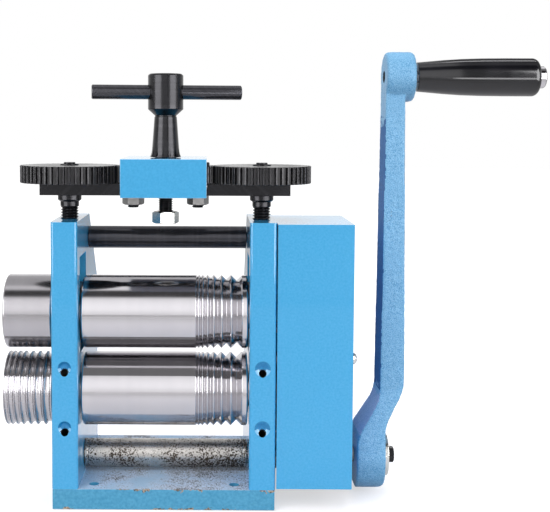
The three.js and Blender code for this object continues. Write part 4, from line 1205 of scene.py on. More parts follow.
@dataclass
class Frame:
    """Base plate, two uprights, their bushes and screws, and the upper tie bar."""

    half_width: float = 73.8
    front: float = -63.0
    rear: float = 63.0
    base_top: float = 13.6
    inner: float = 56.7
    outer: float = 74.2
    top: float = 191.6
    top_rear: float = 10.5
    rear_height: float = 138.0
    front_round: float = 2.0
    hole_x: float = 47.2
    hole_y: float = 51.7
    hole_radius: float = 3.3
    oil_heights: tuple[Pair, ...] = ((95.0, LOWER_Z), (55.0, DRIVE_Z))
    screw_rows: tuple[float, ...] = (-44.0, 50.0)
    tie_y: float = 6.8
    tie_z: float = 175.0

    def base(self) -> None:
        """Builds the base plate with its bench holes."""
        plate = box(
            (-self.half_width, self.front, 0.0), (self.half_width, self.rear, self.base_top),
        )
        cutters = [
            rod(Axis.Z, -2.0, 16.0, self.hole_radius, (x * self.hole_x, y * self.hole_y))
            for x in (-1, 1) for y in (-1, 1)
        ]
        for x in (-SCREW_X, SCREW_X):
            for y in self.screw_rows:
                cutters.append(lathe(
                    [(-2.0, 6.8), (8.1, 6.8), (8.1, 4.3), (15.6, 4.3)], Axis.Z, (x, y), 48, 0.0,
                ))
        publish("base_plate_painted", cut(plate, cutters), [BASE_BLUE], Body.FRAME,
                ["base_plate"], 0.5)

    def oil_axis(self, middle: float, mouth: float, journal: float) -> tuple[Place, Place]:
        """Start and end of the slanting bore of an oil hole."""
        across = ROLL_Y if journal == LOWER_Z else DRIVE_Y
        return (middle, self.front - 0.2, mouth - 2.6), (middle, across, journal)

    def upright(self, name: str, side: int) -> None:
        """Builds one upright.

        Args:
            name: left or right.
            side: -1 or 1.
        """
        low, high = sorted((side * self.inner, side * self.outer))
        middle = side * SCREW_X
        block = prism([
            (self.front, self.base_top), (self.rear, self.base_top), (self.rear, self.rear_height),
            (self.top_rear, self.top), (self.front, self.top),
        ], Axis.X, low, high)
        fronts = [
            edge for edge in block.edges
            if all(abs(v.co.y - self.front) < 1e-4 for v in edge.verts)
            and abs(edge.verts[0].co.z - edge.verts[1].co.z) > 1
        ]
        bmesh.ops.bevel(
            block, geom=fronts, offset=self.front_round, segments=5, profile=0.5,
            affect="EDGES",
        )
        seat = [(54.7, 4.3), (66.9, 4.3), (66.9, 6.8), (76.2, 6.8)]
        seat = seat if side > 0 else [(-a, r) for a, r in reversed(seat)]
        cutters = [
            box((low - 2, -49.3, 102.0), (high + 2, -12.7, 167.0)),
            rod(Axis.X, low - 2, high + 2, 16.1, (ROLL_Y, LOWER_Z), 80),
            rod(Axis.X, low - 2, high + 2, 10.0, (DRIVE_Y, DRIVE_Z), 64),
            rod(Axis.Z, 165.0, 194.0, 6.3, (middle, ROLL_Y)),
            lathe(seat, Axis.X, (self.tie_y, self.tie_z), 48, 0.0),
        ]
        bores = []
        sink = 5.2 if side > 0 else 4.4
        for mouth, journal in self.oil_heights:
            cutters.append(lathe(
                [(self.front - 2, sink), (self.front, sink), (self.front + 1.8, 2.6)],
                Axis.Y, (mouth, middle), 64, 0.0,
            ))
            start, end = self.oil_axis(middle, mouth, journal)
            cutters.append(strut(start, end, 2.6))
            bores.append((Vector(start), Vector(end)))

        def in_bore(centre: Vector, normal: Vector) -> int:
            """1 inside a slanting oil bore, painted dark as shade; 2 in the upper half of its sink,
            painted as shade; 3 in its lower half, painted as a highlight; else 0.
            """
            for start, end in bores:
                run = (end - start).normalized()
                offset = (centre - start) - run * (centre - start).dot(run)
                if offset.length < 2.75 and centre.y > self.front + 1.0:
                    return 1
                sunk = self.front + 0.05 < centre.y < self.front + 2.0
                if sunk and math.hypot(centre.x - start.x, centre.z - start.z) < 9.0:
                    return 2 if normal.z < 0.1 else 3
            return 0

        # Oil bores and the upper half of each sink are painted dark as shade; the lower half of each
        # sink and the bevels are painted paler, as a highlight.
        publish(f"{name}_upright_painted", cut(block, cutters), [BLUE, BORE_SHADE, SHADED_BLUE, EDGE_HIGHLIGHT_BLUE],
                Body.FRAME, [f"{name}_upright"], 0.35, in_bore, pale_marks=True)

    def bushes(self, name: str, side: int) -> None:
        """Builds the two bronze bushes of one upright."""
        low, high = sorted((side * self.inner, side * self.outer))
        rows = ((16.1 - 0.3, 12.3, LOWER_Z, ROLL_Y, "lower"), (9.7, 7.3, DRIVE_Z, DRIVE_Y, "drive"))
        for outside, inside, height, across, kind in rows:
            profile = [(low, inside), (low, outside), (high, outside), (high, inside)]
            publish(f"{name}_{kind}_bush_turned",
                    lathe(profile, Axis.X, (across, height), 72, 0.4, ring=True),
                    [BRONZE], Body.FRAME, [f"{name}_{kind}_bush"])

    def screws(self) -> None:
        """Builds the screws under the base and at the ends of the tie bar."""
        stations = [(0.8, 6.5), (7.8, 6.5), (7.8, 4.0), (31.8, 4.0)]
        number = 0
        for x in (-SCREW_X, SCREW_X):
            for y in self.screw_rows:
                number += 1
                publish(f"base_cap_screw_{number}",
                        cap_screw(stations, Axis.Z, (x, y), 0.8, 4.0, 6.0), [BLACK], Body.FRAME,
                        [f"base_screw_{number}"])
        for name, side in SIDES:
            profile = [(37.2, 4.0), (67.2, 4.0), (67.2, 6.5), (74.2, 6.5)]
            profile = profile if side > 0 else [(-a, r) for a, r in reversed(profile)]
            publish(f"{name}_tie_cap_screw",
                    cap_screw(profile, Axis.X, (self.tie_y, self.tie_z), side * 74.2, -side * 4.0, 6.0),
                    [BLACK], Body.FRAME, [f"{name}_tie_bar_screw"])

    def tie_bar(self) -> None:
        """Builds the blackened bar between the uprights."""
        end = 56.4
        profile = [(-end, 4.3), (-end, 8.0), (end, 8.0), (end, 4.3)]
        publish("tie_bar_black", lathe(profile, Axis.X, (self.tie_y, self.tie_z), 80, 0.4, ring=True),
                [BLACK_BAR], Body.FRAME, ["upper_tie_bar"])

    def build(self) -> None:
        """Builds the whole sub-assembly."""
        self.base()
        for name, side in SIDES:
            self.upright(name, side)
            self.bushes(name, side)
        self.screws()
        self.tie_bar()


@dataclass
class GearCover:
    """The folded sheet cover, its stand-off posts and its dome-headed screws."""

    start: float = 74.9
    end: float = 124.9
    sheet: float = 1.5
    screw_y: tuple[float, ...] = (-56.5, 52.0)
    screw_z: float = 101.1

    def cover(self) -> None:
        """Builds the sheet cover, open towards the upright and below."""
        outside = prism([
            (-63.0, 14.5), (63.0, 14.5), (63.0, 138.0), (11.48, 190.6), (-63.0, 190.6),
        ], Axis.X, self.start, self.end)
        inside = prism([
            (-61.5, 12.5), (61.5, 12.5), (61.5, 137.39), (10.85, 189.1), (-61.5, 189.1),
        ], Axis.X, self.start - 2, self.end - self.sheet)
        cutters = [inside, rod(Axis.X, 121.0, 127.0, 11.0, (DRIVE_Y, DRIVE_Z), 80)]
        cutters += [rod(Axis.X, 121.0, 127.0, 2.3, (y, self.screw_z)) for y in self.screw_y]
        # The cover's bevels are painted paler, as a highlight.
        publish("gear_cover_painted", cut(outside, cutters), [BLUE, EDGE_HIGHLIGHT_BLUE], Body.FRAME,
                ["gear_cover"], 0.45, pale_marks=True)

    def fixings(self) -> None:
        """Builds the posts and the screws that hold the cover."""
        dome = [
            (125.2 + 3.0 * math.sin(math.radians(a)), 3.9 * math.cos(math.radians(a)))
            for a in range(0, 90, 10)
        ]
        for name, y in zip(("front", "rear"), self.screw_y):
            post = lathe([(64.5, 2.0), (74.5, 2.0), (74.5, 4.0), (123.1, 4.0)], Axis.X,
                         (y, self.screw_z), 40)
            publish(f"{name}_post_turned", post, [GEAR_STEEL], Body.FRAME, [f"{name}_cover_post"])
            head = lathe([(114.9, 2.0), (125.2, 2.0), *dome], Axis.X, (y, self.screw_z), 48, 0.1)
            slots = [
                box((126.9, y - 2.6, self.screw_z - 0.5), (130.0, y + 2.6, self.screw_z + 0.5)),
                box((126.9, y - 0.5, self.screw_z - 2.6), (130.0, y + 0.5, self.screw_z + 2.6)),
            ]
            publish(f"{name}_dome_screw", cut(head, slots), [ZINC], Body.FRAME,
                    [f"{name}_cover_screw"])

    def build(self) -> None:
        """Builds the whole sub-assembly."""
        self.cover()
        self.fixings()


@dataclass
class Rolls:
    """Both rolls, the extension rolls outside the left upright, and the upper roll's bearings."""

    radius: float = 25.0
    left: float = -55.5
    right: float = 56.0
    extension_left: float = -107.8
    extension_right: float = -75.3
    v_widths: tuple[float, ...] = (1.8, 2.2, 2.9, 3.8, 4.9, 6.0, 7.3)
    v_land: float = 0.4
    v_end: float = 3.7
    round_widths: tuple[float, ...] = (2.4, 3.1, 3.3, 4.3, 4.3, 4.8, 5.0)
    round_land: float = 0.6
    round_end: float = 0.9
    round_depth: float = 0.42

    def v_row(self) -> list[Pair]:
        """The stations of the row of V grooves."""
        length = sum(self.v_widths) + self.v_land * (len(self.v_widths) - 1)
        start = self.right - self.v_end - length
        stations = []
        for width in self.v_widths:
            stations += [
                (start, self.radius), (start + width / 2, self.radius - width / 2),
                (start + width, self.radius),
            ]
            start += width + self.v_land
        return stations

    def round_row(self) -> list[Pair]:
        """The stations of the row of half-round grooves."""
        length = sum(self.round_widths) + self.round_land * (len(self.round_widths) - 1)
        start = self.extension_right - self.round_end - length
        stations = []
        for width in self.round_widths:
            for i in range(11):
                angle = math.pi * i / 10
                stations.append((
                    start + width * (1 - math.cos(angle)) / 2,
                    self.radius - width * self.round_depth * math.sin(angle),
                ))
            start += width + self.round_land
        return stations

    def roll(self, name: str, height: float, seat: float, finish: Finish, body: Body) -> None:
        """Builds one roll with its journals.

        Args:
            name: the roll's node.
            height: its axis's height.
            seat: where its gear seat starts.
            finish: its finish.
            body: the body that it rides on.
        """
        stations = [
            (-99.3, 10.0), (-75.0, 10.0), (-75.0, 12.0), (self.left, 12.0),
            (self.left, self.radius - 0.8), (self.left + 0.8, self.radius), *self.v_row(),
            (self.right - 0.8, self.radius), (self.right, self.radius - 0.8),
            (self.right, 12.0), (seat, 12.0), (seat, 10.0), (113.6, 10.0),
        ]
        publish(f"{name}_ground", lathe(stations, Axis.X, (ROLL_Y, height), 144, 0.16), [finish],
                body, [name])

    def extension(self, name: str, rim: list[Pair], height: float, finish: Finish, body: Body):
        """Builds one extension roll, bored and counterbored.

        Args:
            name: the extension roll's node.
            rim: the stations of its outside.
            height: its axis's height.
            finish: its finish.
            body: the body that it rides on.
        """
        left, right = self.extension_left, self.extension_right
        bore = [
            (right, 10.3), (-99.6, 10.3), (-99.6, 4.3), (-99.8, 4.3), (-99.8, 9.0), (left, 9.0),
        ]
        publish(f"{name}_ground", lathe([*rim, *bore], Axis.X, (ROLL_Y, height), 144, 0.3, ring=True),
                [finish], body, [name])

    def extension_screw(self, name: str, height: float, body: Body) -> None:
        """Builds the socket screw that holds an extension roll."""
        stations = [(-105.1, 7.0), (-100.1, 7.0), (-100.1, 4.0), (-83.6, 4.0)]
        publish(f"{name}_socket", cap_screw(stations, Axis.X, (ROLL_Y, height), -105.1, 3.4, 6.0),
                [BLACK], body, [name])

    def bearings(self) -> None:
        """Builds the sliding blocks of the upper roll and the springs under them."""
        for name, side in SIDES:
            low, high = sorted((side * 57.0, side * 73.9))
            bottom, top = UPPER_Z - 18, UPPER_Z + 18
            block = prism([
                (ROLL_Y - 16.5, bottom), (ROLL_Y + 16.5, bottom), (ROLL_Y + 18, bottom + 1.5),
                (ROLL_Y + 18, top - 1.5), (ROLL_Y + 16.5, top), (ROLL_Y - 16.5, top),
                (ROLL_Y - 18, top - 1.5), (ROLL_Y - 18, bottom + 1.5),
            ], Axis.X, low, high)
            bore = rod(Axis.X, low - 2, high + 2, 12.3, (ROLL_Y, UPPER_Z), 72)
            publish(f"{name}_block_milled", cut(block, [bore]), [BLOCK_IRON], Body.CARRIAGE,
                    [f"{name}_bearing_block"], 0.35)
            spring = publish(
                f"{name}_spring_coil", coil(6.5, 0.7, 5.85, 3.0, (side * SCREW_X, ROLL_Y, 103.0)),
                [SPRING], Body.FRAME, [f"{name}_lift_spring"],
            )
            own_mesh(spring)

    def build(self) -> None:
        """Builds the whole sub-assembly."""
        left, right, top = self.extension_left, self.extension_right, self.radius
        plain = [(left, top - 0.8), (left + 0.8, top), (right - 0.8, top), (right, top - 0.8)]
        grooved = [(left, top - 0.3), (left + 0.3, top), *self.round_row(), (right, top)]
        self.roll("lower_roll", LOWER_Z, 75.9, LOWER_GROUND, Body.LOWER_ROLLS)
        self.roll("upper_roll", UPPER_Z, 91.9, UPPER_GROUND, Body.UPPER_ROLLS)
        self.extension("plain_extension_roll", plain, UPPER_Z, PLAIN_GROUND, Body.UPPER_ROLLS)
        self.extension("grooved_extension_roll", grooved, LOWER_Z, GROOVED_GROUND, Body.LOWER_ROLLS)
        self.extension_screw("upper_extension_screw", UPPER_Z, Body.UPPER_ROLLS)
        self.extension_screw("lower_extension_screw", LOWER_Z, Body.LOWER_ROLLS)
        self.bearings()


@dataclass
class GearTrain:
    """The reduction gears and the long-toothed pair inside the cover."""

    start: float = 76.2
    width: float = 12.0
    mesh_start: float = 92.2
    module: float = 1.5
    shares: tuple[float, ...] = (0.33, 0.205, 0.1)
    idler: Pair = (-6.9211, 45.6518)

    def reduction(self, teeth: int, bore: float) -> Toothing:
        """The toothing of one reduction gear."""
        pitch = teeth * self.module / 2
        return Toothing(teeth, pitch - 1.9, pitch + 1.35, self.shares, bore, self.width)

    def build(self) -> None:
        """Builds all gears in their meshing phases."""
        across, up = self.idler
        to_idler = math.atan2(up - DRIVE_Z, across - DRIVE_Y)
        to_roll = math.atan2(LOWER_Z - up, ROLL_Y - across)
        idler_turn = to_roll + math.pi / 20
        pitches = (to_idler + math.pi - idler_turn) * 20 / (2 * math.pi)
        pinion_turn = to_idler + (pitches + 0.5) * 2 * math.pi / 12
        rows = (
            ("drive_pinion", 12, 5.5, (DRIVE_Y, DRIVE_Z), pinion_turn, Body.DRIVE),
            ("idler_gear", 20, 5.3, self.idler, idler_turn, Body.IDLER),
            ("lower_drive_gear", 30, 10.3, (ROLL_Y, LOWER_Z), to_roll + math.pi, Body.LOWER_ROLLS),
        )
        for name, teeth, bore, centre, turn, body in rows:
            wheel = self.reduction(teeth, bore).wheel(Axis.X, self.start, centre, turn)
            publish(f"{name}_cut", wheel, [GEAR_STEEL], body, [name], keep=25.0)
        long_teeth = Toothing(14, 19.6, 29.8, (0.26, 0.155, 0.06), 10.3, 20.0)
        for name, height, turn, body in (
            ("lower_mesh_gear", LOWER_Z, math.pi / 2, Body.LOWER_ROLLS),
            ("upper_mesh_gear", UPPER_Z, math.pi / 2 + math.pi / 14, Body.UPPER_ROLLS),
        ):
            wheel = long_teeth.wheel(Axis.X, self.mesh_start, (ROLL_Y, height), turn)
            publish(f"{name}_cut", wheel, [GEAR_STEEL], body, [name], keep=25.0)
        stud = lathe([(64.2, 5.0), (88.5, 5.0), (88.5, 8.0), (90.9, 8.0)], Axis.X, self.idler, 56)
        publish("idler_stud_turned", stud, [GEAR_STEEL], Body.FRAME, ["idler_stud"])


@dataclass
class Drive:
    """Drive shaft, cast crank, its fixings and the turning grip."""

    boss: Pair = (131.3, 150.8)
    boss_radius: float = 22.5
    arm: Pair = (147.2, 164.2)
    arm_top: Pair = (149.2, 162.0)
    arm_half_width: Pair = (14.0, 11.65)
    top_boss: Pair = (149.3, 169.4)
    top_boss_radius: float = 16.95
    inner_top: float = 262.0
    voxel: float = 0.75
    roughness: float = 0.16

    def shaft(self) -> None:
        """Builds the drive shaft with the washer and screw at its left end."""
        groove = [(53.4, 9.9), (53.6, 9.5), (54.1, 9.5), (54.3, 9.9)]
        stations = [
            (-74.5, 7.0), (-56.1, 7.0), (-56.1, 9.9), *[(-a, r) for a, r in reversed(groove)],
            *groove, (56.1, 9.9), (56.1, 7.0), (75.9, 7.0), (75.9, 5.2), (152.5, 5.2),
        ]
        centre = (DRIVE_Y, DRIVE_Z)
        publish("drive_shaft_turned", lathe(stations, Axis.X, centre, 96, 0.15), [SHAFT_STEEL],
                Body.DRIVE, ["drive_shaft"])
        washer = [(-76.4, 3.3), (-76.4, 8.5), (-74.8, 8.5), (-74.8, 3.3)]
        publish("shaft_end_washer_turned", lathe(washer, Axis.X, centre, 64, 0.25, ring=True),
                [ZINC], Body.DRIVE, ["shaft_end_washer"])
        screw = [(-79.8, 4.1), (-79.2, 4.6), (-78.2, 4.9), (-76.7, 4.9), (-76.7, 3.0), (-60.5, 3.0)]
        publish("shaft_end_screw_socket", cap_screw(screw, Axis.X, centre, -79.8, 2.0, 4.0),
                [BLACK], Body.DRIVE, ["shaft_end_screw"])

    def side_outline(self) -> list[Pair]:
        """The crank's side view as places in Z and X, with its two bends rounded."""
        inner = [(DRIVE_Z + 16.0, self.boss[0]), (DRIVE_Z + 42.5, self.arm[0])]
        outer = [(DRIVE_Z + 49.0, self.arm[1]), (DRIVE_Z + 24.0, self.boss[1])]
        bottom = DRIVE_Z - self.boss_radius
        corners = [
            (bottom, self.boss[0] + 2.0), (bottom + 2.0, self.boss[0]), inner[0], inner[1],
            (GRIP_Z, self.arm_top[0]), (GRIP_Z, self.arm_top[1]), outer[0], outer[1],
            (bottom + 4.5, self.boss[1]), (bottom, self.boss[1] - 4.5),
        ]
        return softened(corners, 7.0, closed=True)

    def face_outline(self) -> list[Pair]:
        """The crank's front view as places in Y and Z: round foot and tapering arm."""
        half, top_half = self.arm_half_width
        neck = DRIVE_Z + 49.0
        reach = math.hypot(half, neck - DRIVE_Z)
        start = math.atan2(neck - DRIVE_Z, -half) + math.acos(self.boss_radius / reach)
        sweep = 3 * math.pi - 2 * start
        arc = [
            (DRIVE_Y + self.boss_radius * math.cos(a), DRIVE_Z + self.boss_radius * math.sin(a))
            for a in [start + sweep * i / 40 for i in range(41)]
        ]
        return [
            (DRIVE_Y - top_half, GRIP_Z), (DRIVE_Y - half, neck), *arc,
            (DRIVE_Y + half, neck), (DRIVE_Y + top_half, GRIP_Z),
        ]

    def casting(self) -> bmesh.types.BMesh:
        """The crank with the soft edges and uneven skin of a casting.

        Returns:
            The closed form, before its bores.
        """
        side = prism(
            self.side_outline(), Axis.Y, DRIVE_Y - self.boss_radius, DRIVE_Y + self.boss_radius,
        )
        face = prism(self.face_outline(), Axis.X, self.boss[0] - 2, self.top_boss[1] + 2)
        arm = cut(side, [face], Cut.COMMON)
        boss = lathe(
            [(self.top_boss[0], self.top_boss_radius), (self.top_boss[1], self.top_boss_radius)],
            Axis.X, (DRIVE_Y, GRIP_Z), 96, 3.4,
        )
        work = scratch_object(cut(arm, [boss], Cut.JOIN))
        remesh = work.modifiers.new("skin", "REMESH")
        remesh.mode = "VOXEL"
        remesh.voxel_size = self.voxel
        smooth = work.modifiers.new("soft", "SMOOTH")
        smooth.iterations = 5
        smooth.factor = 0.5
        form = form_of(evaluated_mesh(work))
        discard([work])
        form.normal_update()
        for vertex in form.verts:
            bumps = noise.noise(vertex.co / 2.3) + 0.6 * noise.noise(vertex.co / 9.0)
            vertex.co += vertex.normal * (self.roughness * bumps - 0.02)
        return form

    def crank(self) -> None:
        """Builds the crank with its bores and its small set screw."""
        bores = [
            rod(Axis.X, 129.0, 157.0, 5.5, (DRIVE_Y, DRIVE_Z)),
            rod(Axis.X, 146.0, 176.0, 4.2, (DRIVE_Y, GRIP_Z)),
        ]

        def part_of(centre: Vector, normal: Vector) -> int:
            """1 on the wall of a bore, painted dark as shade; 2 on the arm's inner side, painted navy
            as shade; 3 on its inner bend, painted as a pale sheen; else 0.
            """
            for height, radius in ((GRIP_Z, 4.5), (DRIVE_Z, 5.7)):
                reach = math.hypot(centre.y - DRIVE_Y, centre.z - height)
                if reach < radius and abs(normal.x) < 0.5:
                    return 1
            # The arm's inner side is painted navy as shade, with a ragged edge that fades out at its
            # ends.
            fade = max(0.0, centre.z - self.inner_top + 18.0, 88.0 - centre.z) / 34.0
            ragged = 0.55 + 0.35 * noise.noise(centre / 3.0) + fade
            if normal.x < -ragged and 74.0 < centre.z < self.inner_top:
                return 2
            # Faces of the inner bend that look left and up are painted pale, as a sheen.
            return 3 if normal.x < -0.5 and normal.z > 0.2 and 44.0 < centre.z < 80.0 else 0

        publish("crank_casting", cut(self.casting(), bores), [CAST_BLUE, BORE_SHADE, CAST_SHADE_NAVY, CAST_BEND_SHEEN],
                Body.DRIVE, ["crank_arm"], pick=part_of, keep=50.0)
        dot = lathe([(302.5, 1.5), (305.5, 1.5)], Axis.Z, (161.0, DRIVE_Y), 24, 0.3)
        publish("top_boss_set_screw", dot, [BLACK], Body.DRIVE)

    def fixings(self) -> None:
        """Builds the washer and bolt at the foot of the crank, and the grip's spindle."""
        centre = (DRIVE_Y, DRIVE_Z)
        washer = [(150.9, 3.3), (150.9, 14.5), (154.4, 14.5), (154.4, 3.3)]
        publish("crank_washer_turned", lathe(washer, Axis.X, centre, 72, 0.35, ring=True), [ZINC],
                Body.DRIVE, ["crank_washer"])
        corner = 10.0 / math.sqrt(3)
        cone = lathe([
            (154.5, corner + 0.02), (158.8, corner + 0.02), (159.4, corner - 0.9),
        ], Axis.X, centre, 96, 0.0)
        head = cut(prism(hexagon(10.0, 0.0, centre), Axis.X, 154.5, 159.4), [cone], Cut.COMMON)
        shank = lathe([(134.5, 3.0), (155.0, 3.0)], Axis.X, centre, 40)
        publish("crank_bolt_hexagon", merged([head, shank]), [BLACK], Body.DRIVE, ["crank_bolt"], 0.15)
        spindle = [(152.2, 4.0), (254.8, 4.0), (254.8, 7.5), (258.0, 7.5), (259.0, 6.7), (259.6, 5.0)]
        publish("grip_spindle_turned", lathe(spindle, Axis.X, (DRIVE_Y, GRIP_Z), 72, 0.3),
                [TurnedSteel("spindle_bright_steel", "plain_steel", centre=(0, DRIVE_Y, GRIP_Z))],
                Body.DRIVE, ["grip_spindle"])

    def grip(self) -> None:
        """Builds the turning grip, which widens outwards to a rounded end."""
        start, end = 171.6, 254.5
        outline = [(start, 10.0), (start + 8, 10.7), (start + 18, 11.6), (start + 30, 12.4),
                   (start + 44, 12.85), (start + 60, 13.0)]
        outline += [
            (end - 4.6 * (1 - math.sin(a)), 13.0 - 4.4 * (1 - math.cos(a)))
            for a in [math.pi / 2 * i / 10 for i in range(11)]
        ]
        bore = [(end, 4.3), (start, 4.3)]
        publish("crank_grip_moulded", lathe([*outline, *bore], Axis.X, (DRIVE_Y, GRIP_Z), 96, 0.35,
                                            ring=True),
                [GRIP_BLACK], Body.GRIP, ["crank_grip"])

    def build(self) -> None:
        """Builds the whole sub-assembly."""
        self.shaft()
        self.crank()
        self.fixings()
        self.grip()


@dataclass
class Adjustment:
    """Bridge plate, gear housing, adjusting gears, pressure screws and the T-handle."""

    bottom: float = 208.0
    top: float = 215.8
    reach: float = 84.15
    front: float = -43.5
    rear: float = -18.5
    housing_top: float = 233.2
    gear_bottom: float = 216.1
    teeth: Toothing = field(default_factory=lambda: Toothing(
        50, 31.6, 33.45, (0.32, 0.12), 5.3, 11.8, 0.45,
    ))
    handle_turn: float = 8.0
    bar_height: float = 277.4

    def bridge(self) -> None:
        """Builds the bridge plate, milled down under the housing."""
        plate = box((-self.reach, self.front, self.bottom), (self.reach, self.rear, self.top))
        cutters = [
            box((-28.3, self.front - 2, 212.6), (28.3, self.rear + 2, 218.0)),
            rod(Axis.Z, 206.0, 218.0, 5.2, (0.0, ROLL_Y)),
            *[rod(Axis.Z, 206.0, 218.0, 6.3, (side * SCREW_X, ROLL_Y)) for _, side in SIDES],
            *[rod(Axis.Z, 206.0, 218.0, 4.3, (side * 22.0, ROLL_Y)) for _, side in SIDES],
        ]
        publish("bridge_plate_milled", cut(plate, cutters), [BLACK], Body.BRIDGE, ["bridge_plate"], 0.4)

    def housing(self) -> None:
        """Builds the blue housing over the centre gear, with its small side screw."""
        block = box((-28.0, -69.0, self.bottom), (28.0, 7.0, self.housing_top))
        cutters = [
            box((-30.0, -65.0, self.top), (30.0, 3.0, self.housing_top - 4.6)),
            box((-30.0, self.front - 0.3, self.bottom - 2), (30.0, self.rear + 0.3, 212.9)),
            rod(Axis.Z, 206.0, 218.0, 5.2, (0.0, ROLL_Y)),
            rod(Axis.Z, 226.0, 236.0, 7.3, (0.0, ROLL_Y)),
            *[rod(Axis.Z, 206.0, 218.0, 4.3, (side * 22.0, ROLL_Y)) for _, side in SIDES],
        ]

        def underside(centre: Vector, normal: Vector) -> int:
            """1 on the bare faces below the housing, else 0."""
            return int(normal.z < -0.9 and centre.z < self.bottom + 6.0)

        # The housing's bevels are painted paler, as a highlight.
        publish("gear_housing_painted", cut(block, cutters), [HOUSING_BLUE, UNDERSIDE, EDGE_HIGHLIGHT_BLUE],
                Body.BRIDGE, ["gear_housing"], 0.3, underside, pale_marks=True)
        screw = lathe([(25.0, 1.7), (29.4, 1.7), (29.9, 1.3)], Axis.X, (-60.0, 229.4), 28, 0.2)
        publish("housing_set_screw", screw, [BLACK], Body.BRIDGE)

    def housing_fixings(self) -> None:
        """Builds the screws through the housing's floor and their nuts."""
        for name, side in SIDES:
            centre = (side * 22.0, ROLL_Y)
            thread = threaded(199.3, 212.0, 4.0, 1.25, Axis.Z, centre, 36, 0.6)
            head = lathe([(211.0, 3.6), (211.7, 4.0), (215.65, 7.5)], Axis.Z, centre, 48, 0.1)
            publish(f"{name}_housing_screw_sunk", merged([thread, head]), [BLACK], Body.BRIDGE,
                    [f"{name}_housing_screw"])
            nut = hex_nut(13.0, 201.2, 207.7, 4.2, 4.0, centre)
            publish(f"{name}_housing_nut_plated", nut, [DULL_ZINC], Body.BRIDGE,
                    [f"{name}_housing_nut"], 0.12)

    def gear(self, name: str, x: float, phase: float, body: Body, bossed: bool) -> None:
        """Builds one adjusting gear.

        Args:
            name: its node.
            x: its place.
            phase: its first tooth's turn in radians.
            body: the body that it rides on.
            bossed: whether it has a low boss.
        """
        toothing = self.teeth if bossed else Toothing(
            self.teeth.teeth, self.teeth.root, self.teeth.tip, self.teeth.shares, 7.3,
            self.teeth.width, self.teeth.chamfer,
        )
        form = toothing.wheel(Axis.Z, self.gear_bottom, (x, ROLL_Y), phase)
        groove = self.teeth.root + 0.35 * (self.teeth.tip - self.teeth.root)

        def between_teeth(centre: Vector, normal: Vector) -> int:
            """1 at the bottom of the gaps between teeth, painted dark as shade, else 0."""
            reach = math.hypot(centre.x - x, centre.y - ROLL_Y)
            return int(abs(normal.z) < 0.5 and self.teeth.root - 1 < reach < groove)

        if bossed:
            ring = [(226.0, 5.3), (226.0, 6.25), (228.7, 6.25), (228.7, 5.3)]
            form = merged([form, lathe(ring, Axis.Z, (x, ROLL_Y), 56, 0.2, ring=True)])
        # Tooth gaps are painted dark as shade; bevels are paler, as rubbed wear and a painted glint.
        publish(f"{name}_cut", form, [GEAR_BLACK, BORE_SHADE, RUBBED_AND_GLINT], body, [name], 0.18, between_teeth,
                25.0, pale_marks=True)

    def pressure_screw(self, name: str, side: int, body: Body) -> None:
        """Builds one pressure screw with its thread, collar and slotted head.

        Args:
            name: left or right.
            side: -1 or 1.
            body: the body that it rides on.
        """
        centre = (side * SCREW_X, ROLL_Y)
        parts = [
            lathe([(146.1, 4.5), (148.4, 4.5)], Axis.Z, centre, 48, 0.3),
            threaded(148.1, 200.6, 6.0, 1.9, Axis.Z, centre, 48, 1.0),
            lathe([
                (199.6, 5.6), (200.2, 6.3), (203.4, 6.3), (203.6, 6.9), (204.5, 8.0), (207.7, 8.0),
                (207.7, 6.0), (215.9, 6.0), (215.9, 5.0), (227.9, 5.0), (227.9, 3.2),
            ], Axis.Z, centre, 64, 0.2),
            cut(lathe([(227.5, 3.6), (228.6, 3.85), (229.9, 3.85)], Axis.Z, centre, 48, 0.25), [
                box((centre[0] - 6, ROLL_Y - 0.6, 228.9), (centre[0] + 6, ROLL_Y + 0.6, 232.0)),
            ]),
        ]
        publish(f"{name}_pressure_screw_black", merged(parts), [BLACK], body,
                [f"{name}_pressure_screw"])

    def handle(self) -> None:
        """Builds the T-handle's stem, notched round its foot and cross-drilled in its hub."""
        centre = (0.0, ROLL_Y)
        stem = lathe([
            (207.0, 4.4), (208.2, 4.9), (215.95, 4.9), (215.95, 7.0), (233.5, 7.0), (233.5, 10.5),
            (234.3, 10.3), (235.5, 9.8), (237.4, 9.4), (239.6, 9.15), (260.6, 7.65), (261.0, 7.3),
            (261.8, 7.3), (262.3, 8.0), (266.0, 12.0), (288.7, 12.0), (289.8, 10.9),
        ], Axis.Z, centre, 96, 0.3)
        turn = Matrix.Rotation(math.radians(self.handle_turn), 4, "Z")
        bore = rod(Axis.X, -16.0, 16.0, 5.1, (0.0, self.bar_height), 56)
        bmesh.ops.transform(bore, matrix=Matrix.Translation((0, ROLL_Y, 0)) @ turn, verts=bore.verts)
        notch = prism([(9.0, -0.45), (14.0, -1.2), (14.0, 1.2), (9.0, 0.45)], Axis.Z, 234.2, 241.5)
        notches = ring_of_copies(notch, 14, 0.1)
        bmesh.ops.translate(notches, vec=(0, ROLL_Y, 0), verts=notches.verts)
        stud = threaded(190.0, 208.2, 4.9, 1.5, Axis.Z, centre, 40, 0.9)
        body = cut(stem, [bore, notches])
        publish("t_handle_stem_black", merged([body, stud]), [BLACK], Body.T_HANDLE, ["t_handle_stem"],
                keep=32.0)

    def cross_bar(self) -> None:
        """Builds the bar through the hub."""
        bar = lathe([(-50.0, 4.3), (-49.4, 4.9), (51.3, 4.9), (51.9, 4.3)], Axis.X,
                    (0.0, self.bar_height), 72, 0.25)
        turn = Matrix.Rotation(math.radians(self.handle_turn), 4, "Z")
        bmesh.ops.transform(bar, matrix=Matrix.Translation((0, ROLL_Y, 0)) @ turn, verts=bar.verts)
        publish("cross_bar_black", bar, [BLACK_BAR], Body.T_HANDLE, ["cross_bar"])

